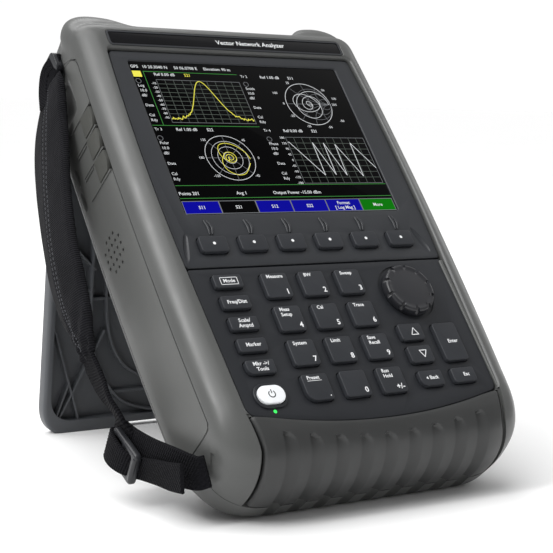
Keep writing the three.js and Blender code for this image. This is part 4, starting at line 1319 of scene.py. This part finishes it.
PAD_FABRIC = fabric("pad_fabric", (0.0085, 0.0085, 0.0105), 270, 35, 0.012)
WEBBING = fabric("webbing_fabric", (0.0045, 0.0045, 0.006), 230, 60, 0.01)
THREAD = Paint("stitch_thread", (0.055, 0.057, 0.063), 0.7).vary(400, 0.15).shine(0.2).material
STITCH_LINES = [-0.27, -0.02]
PAD_ROWS = 130


def pad_sections(count, samples):
    """Surface points, outward normals and half thickness of the pad, row by row.

    A sample is -1 on the rear hem, 0 on the stitched bend and 1 on the front roll.
    """
    stations = spline(PAD_ROUTE, count)
    along = directions(np.column_stack([stations[:, 1], stations[:, 0], stations[:, 4]]))
    flat = np.zeros(len(samples))
    found = []
    for i, (y, x, drop, rear, bend, front) in enumerate(stations):
        t = i / (count - 1)
        reach = np.where(samples < 0, (bend - rear) * samples, (front - bend) * samples)
        turned = drop * np.abs(samples) ** 1.5
        spine = np.column_stack([x + turned, flat + y, bend + reach])
        normal = np.column_stack([flat - 1, flat, np.gradient(turned, reach)])
        normal -= along[i] * (normal @ along[i])[:, None]
        normal /= np.linalg.norm(normal, axis=1)[:, None]

        full = 2.1 + 1.2 * min(t / 0.2, 1) * min((1 - t) / 0.1, 1)
        edge = np.clip((1 - samples) * (front - bend) / full, 0.01, 1)
        hem = np.clip((samples + 1) * (bend - rear) / 1.6, 0.01, 1)
        thick = np.where(samples < 0, full * (0.62 + 0.38 * (samples + 1) ** 2), full)
        thick = thick * np.sqrt(edge * (2 - edge)) * np.sqrt(hem * (2 - hem))
        for line in STITCH_LINES:
            thick = thick - 0.7 * np.exp(-(((samples - line) * (bend - rear)) ** 2) / 1.8)

        crumple = max((t - 0.7) / 0.3, 0)
        wave = 0.12 * np.sin(samples * 5 + t * 19) * math.sin(t * 37 + 1.3)
        large, small = np.sin(samples * 7.5 + t * 46), np.sin(samples * 13 - t * 71)
        folds = 0.75 * crumple * large + 0.4 * crumple * small
        inside = np.clip((1 - np.abs(samples)) * 5, 0, 1)
        found.append((spine, normal, thick + (wave + folds) * inside))
    return found


def build_pad():
    """The padded hand strap: a flat hem to the rear, a full roll to the front, folds where it ends."""
    samples = -np.cos(np.linspace(0, math.pi, 64))
    rows = []
    for i, (spine, normal, thick) in enumerate(pad_sections(PAD_ROWS, samples)):
        t = i / (PAD_ROWS - 1)
        end = math.sqrt(min(t / 0.02, (1 - t) / 0.02, 1) * 0.9 + 0.1)
        outer = spine + normal * (thick * end)[:, None]
        inner = spine - normal * (thick * end * 0.7)[:, None]
        rows.append(np.vstack([outer[::-1], inner]))
    pad = loft(rows)
    place(pad, "strap_pad_cover", "strap_fabric", PAD_FABRIC, 60)

    stitches, radii = Pile(), [0.18, 0.32, 0.38, 0.38, 0.32, 0.18]
    near = [line + k for line in STITCH_LINES for k in (-0.02, 0, 0.02)]
    fine = pad_sections(560, np.array([-1.0, *near, 1.0]))
    pitch, lift = 8, 0.22
    for column in (2, 5):
        path = [spine[column] + normal[column] * (thick[column] + lift) for spine, normal, thick in fine]
        for start in range(14, 540, pitch):
            stitches.take(tube(path[start : start + len(radii)], radii, 6), THREAD)
    place(stitches.build(), "strap_stitches", "strap_fabric", angle=60)


def webbing_mesh(stations, count, thick):
    points = spline(stations, count)
    centre, half = points[:, :3], points[:, 3] / 2
    along = directions(centre)
    lean, swing = np.radians(points[:, 4]), np.radians(points[:, 5])
    across = np.column_stack([-np.sin(swing), np.cos(swing) * np.sin(lean), np.cos(swing) * np.cos(lean)])
    out = np.cross(along, across)
    out /= np.linalg.norm(out, axis=1)[:, None]
    across = np.cross(out, along)
    ribs, rows = 9, []
    for i in range(count):
        ring = []
        for face in (1, -1):
            for s in np.linspace(1, -1, ribs * 4 + 1) * face:
                edge = 1 - max((abs(s) - 0.94) / 0.06, 0) ** 2 * 0.7
                bulge = thick * edge + 0.13 * math.cos(s * ribs * math.pi)
                ring.append(centre[i] + across[i] * s * half[i] + out[i] * face * bulge)
        rows.append(ring)
    return loft(rows)


def build_webbing():
    pile = Pile()
    for stations, count, thick in [
        (HANGING, 64, 1.1),
        (RETURNING, 60, 1.1),
        (TAIL, 110, 0.95),
        (ANCHOR_LOOP, 40, 0.9),
        (SECOND_LOOP, 30, 0.9),
    ]:
        pile.take(webbing_mesh(stations, count, thick), WEBBING)
    place(pile.build(), "strap_webbing_skin", "webbing_fabric", angle=50)


def build_buckle():
    """Ladder-lock buckle: a frame with a middle bar, rounded all over."""
    buckle = slab(rounded(0, 0, 26, 17.6, 2.6), -1.9, 1.9, 1.3, 1.1, 4)
    for x, width in ((-5.6, 7.4), (4.6, 8.2)):
        cut(buckle, flared(rounded(x, 0, width, 11.4, 1.2), -5, 1.9, 0.8))
    join(buckle, tube([(-1.3, -7, 0.2), (-1.3, 7, 0.2)], 1.3, 16))
    join(buckle, tube([(11.6, -6.4, 1.0), (11.9, 0, 1.5), (11.6, 6.4, 1.0)], 1.4, 16))
    across, down = Vector((0, 0.42, 0.9075)), Vector((0, -0.9075, 0.42))
    turn = Matrix((down, across, down.cross(across))).transposed().to_4x4()
    buckle = moved(buckle, Matrix.Translation((-106, -146.2, -63.8)) @ turn)
    place(buckle, "strap_buckle_skin", "buckle_plastic", BUCKLE, 40)


def build_anchor():
    anchor = slab(rounded(70.75, -31.5, 12.5, 13.9, 3.4), -93.4, -88.9, 1.4, 0.3)
    cut(anchor, block(60, 73.5, -36.5, -26.6, -92.2, -90.3))
    cyclic = Matrix(((0, 0, 1, 0), (1, 0, 0, 0), (0, 1, 0, 0), (0, 0, 0, 1)))
    place(moved(anchor, cyclic), "strap_anchor_skin", "anchor_plastic", BUCKLE)


# ------------------------ tilt stand


def stand_outline(half, corner, start, end, arch=None):
    steps = [(-half, end + corner), ((-half, end), (-half + corner, end))]
    if arch:
        steps += [(-34, end), (-26, arch), (26, arch), (34, end)]
    steps += [(half - corner, end), ((half, end), (half, end + corner)), (half, start), (half - 8, start + 7)]
    return curve((-half, start), *steps, (-half + 8, start + 7), detail=12)


def rib(points, thick, z0, z1):
    """A thin wall standing on the plate along a path."""
    path = np.asarray(points, float)
    ahead = directions(path)
    side = np.column_stack([-ahead[:, 1], ahead[:, 0]]) * thick / 2
    return slab(np.vstack([path + side, (path - side)[::-1]]), z0, z1, 0.35, 0, 2)


def build_stand():
    half, low, high = STAND["half"], -STAND["thick"] / 2, STAND["thick"] / 2
    rise, run = STAND["y"] - HEEL_Y, STAND["z"] - HEEL_Z
    tilt = math.radians(STAND["open"]) - LEAN
    reach = (rise * math.cos(LEAN) + run * math.sin(LEAN)) / math.cos(tilt)
    outline = stand_outline(half, STAND["corner"], -14, -reach - 2, -reach + STAND["lift"])
    plate = slab(outline, low, high, 2.2, 1.2, 4)
    floor = low + 2.4
    cut(plate, slab(stand_outline(half - 3.9, 16, -27, -reach + 7.4), floor, 20))

    big = [(-55, -22), (-55, -70), (-55, -100), (-52.6, -129), (-45, -148), (-32.3, -163), (-15, -170)]
    small = [(-44, -22), (-44.5, -70), (-45, -100), (-41, -125), (-31, -142), (-15, -151), (0, -153)]
    for points, count, top in [([*big, (0, -171.6)], 40, 2.9), (small, 34, 1.8)]:
        path = spline(points, count)
        join(plate, rib(np.vstack([path, (path * [-1, 1])[::-1][1:]]), 1.4, floor - 0.5, top))
    for s in (-1, 1):
        for x0, y0, x1, y1 in [
            (77.5, -116, 59, -172.6),
            (72, -172.4, 45, -120),
            (66, -150, 74, -172.4),
            (77.5, -96, 53, -96),
            (77.5, -60, 53, -84),
            (77.5, -22, 53, -50),
        ]:
            join(plate, rib([(s * x0, y0), (s * x1, y1)], 1.2, floor - 0.5, 2.5))
    for x, y in [(54, -101), (38, -158)]:
        join(plate, rib([(-x, y), (x, y)], 1.8, floor - 0.5, 1.6))

    wedge = [(-reach - 20, -40), (-reach - 20, 40)]
    wedge += [(-reach + 40 * math.tan(tilt), 40), (-reach - 40 * math.tan(tilt), -40)]
    cut(plate, side_prism(wedge, -120, 120))
    for x in (-46, 46):
        join(plate, side_prism(circle(0, 0, 4.2, 32), x - 5, x + 5))
        join(plate, block(x - 5, x + 5, -9, 0, -4.2, 0))
    cut(plate, side_prism(circle(0, 0, PIN_RADIUS, 20), -90, 90))
    pin = Matrix.Translation((CENTRE_X, STAND["y"], STAND["z"]))
    matrix = CASE @ pin @ Matrix.Rotation(math.radians(STAND["open"]), 4, "X")
    place(plate, "tilt_stand_skin", "stand_plastic", STAND_GREY, 30, "tilt_stand", matrix)


# ------------------------ inside


def paint_inside():
    board = Paint("board_green", (0.02, 0.11, 0.045), 0.4).vary(260, 0.35, (1.1, 1.2, 1))
    board = board.grain(900, 0.3, 0.0001).material
    finishes = {
        "keypad_board": board,
        "main_board": board,
        "rf_module": metal("shield_tin", (0.62, 0.62, 0.60), 0.32),
        "rotary_encoder": metal("encoder_tin", (0.58, 0.58, 0.57), 0.35),
        "stand_pin": metal("pin_steel", (0.56, 0.57, 0.58), 0.28),
        "battery_pack": moulded("battery_black", (0.018, 0.018, 0.020), 0.45),
        "lcd_module": moulded("module_black", (0.022, 0.023, 0.025), 0.5),
        "speaker": moulded("speaker_black", (0.015, 0.015, 0.016), 0.6),
    }
    for name, material in finishes.items():
        node = frame["nodes"][name]
        node.data.materials.clear()
        node.data.materials.append(material)


build_case()
build_bumper()
build_strip()
build_bezel()
build_keypad()
build_display()
build_keys()
build_knob()
build_connectors()
build_pad()
build_webbing()
build_buckle()
build_anchor()
build_stand()
paint_inside()


# ------------------------ floor, light and camera


def build_stage():
    floor = new_object([(x, y, 0) for x, y in box(-14, 14, -14, 14)], [(0, 1, 2, 3)])
    floor.name = "floor"
    white = Paint("floor_white", (0.93, 0.93, 0.93), 0.7).vary(3, 0.005).shine(0.1).material
    floor.data.materials.append(white)
    world = bpy.data.worlds.new("studio")
    world.use_nodes = True
    nodes, links = world.node_tree.nodes, world.node_tree.links
    background = nodes["Background"]
    background.inputs["Color"].default_value = (1, 1, 1, 1)
    seen = nodes.new("ShaderNodeLightPath").outputs["Is Camera Ray"]
    strength = nodes.new("ShaderNodeMapRange")
    strength.inputs["To Min"].default_value = 0.40  # as light
    strength.inputs["To Max"].default_value = 1.02  # as backdrop
    links.new(seen, strength.inputs["Value"])
    links.new(strength.outputs["Result"], background.inputs["Strength"])
    bpy.context.scene.world = world
    bpy.context.scene.view_settings.view_transform = "Standard"


def build_lights():
    """Two wide suns, aimed from where they stand at the origin, and three panels of light."""
    for name, place, height, size, power in [
        ("key", (-0.8, 0.1, 1.6), 0, None, 2.35),
        ("left", (-1.25, -0.2, 1.15), 0.12, (0.22, 0.9), 10),
        ("top", (0.1, 1.0, 1.3), 0.2, (1.2, 0.5), 6),
        ("rim", (1.3, 0.35, 0.45), 0.12, (0.3, 0.9), 1.5),
        ("fill", (1.1, 0.3, 1.3), 0, None, 0.2),
    ]:
        data = bpy.data.lights.new(name, "AREA" if size else "SUN")
        data.energy = power
        if size:
            data.shape, data.size, data.size_y = "RECTANGLE", *size
        else:
            data.angle = math.radians(60)
        light = bpy.data.objects.new(name, data)
        light.location = place
        light.rotation_euler = (Vector((0, 0, height)) - Vector(place)).to_track_quat("-Z", "Y").to_euler()
        bpy.context.scene.collection.objects.link(light)


def build_camera():
    """The camera as solved from the photo: its turn and offset from the case frame, in millimetres."""
    turn = Matrix(((0.8361, -0.3346, 0.4347), (-0.0413, -0.8286, -0.5582), (0.5470, 0.4488, -0.7067)))
    offset = Vector((-5.87, -74.89, 802.71))
    eye = -(turn.transposed() @ offset)
    axes = turn.transposed() @ Matrix.Diagonal((1, -1, -1))
    data = bpy.data.cameras.new("camera")
    data.lens = 97.81
    camera = bpy.data.objects.new("camera", data)
    camera.location = (CASE @ Matrix.Translation(eye)).translation
    camera.rotation_mode = "QUATERNION"
    camera.rotation_quaternion = (TILT.to_3x3() @ axes).to_quaternion()
    bpy.context.scene.collection.objects.link(camera)
    bpy.context.scene.camera = camera


build_stage()
build_lights()
build_camera()
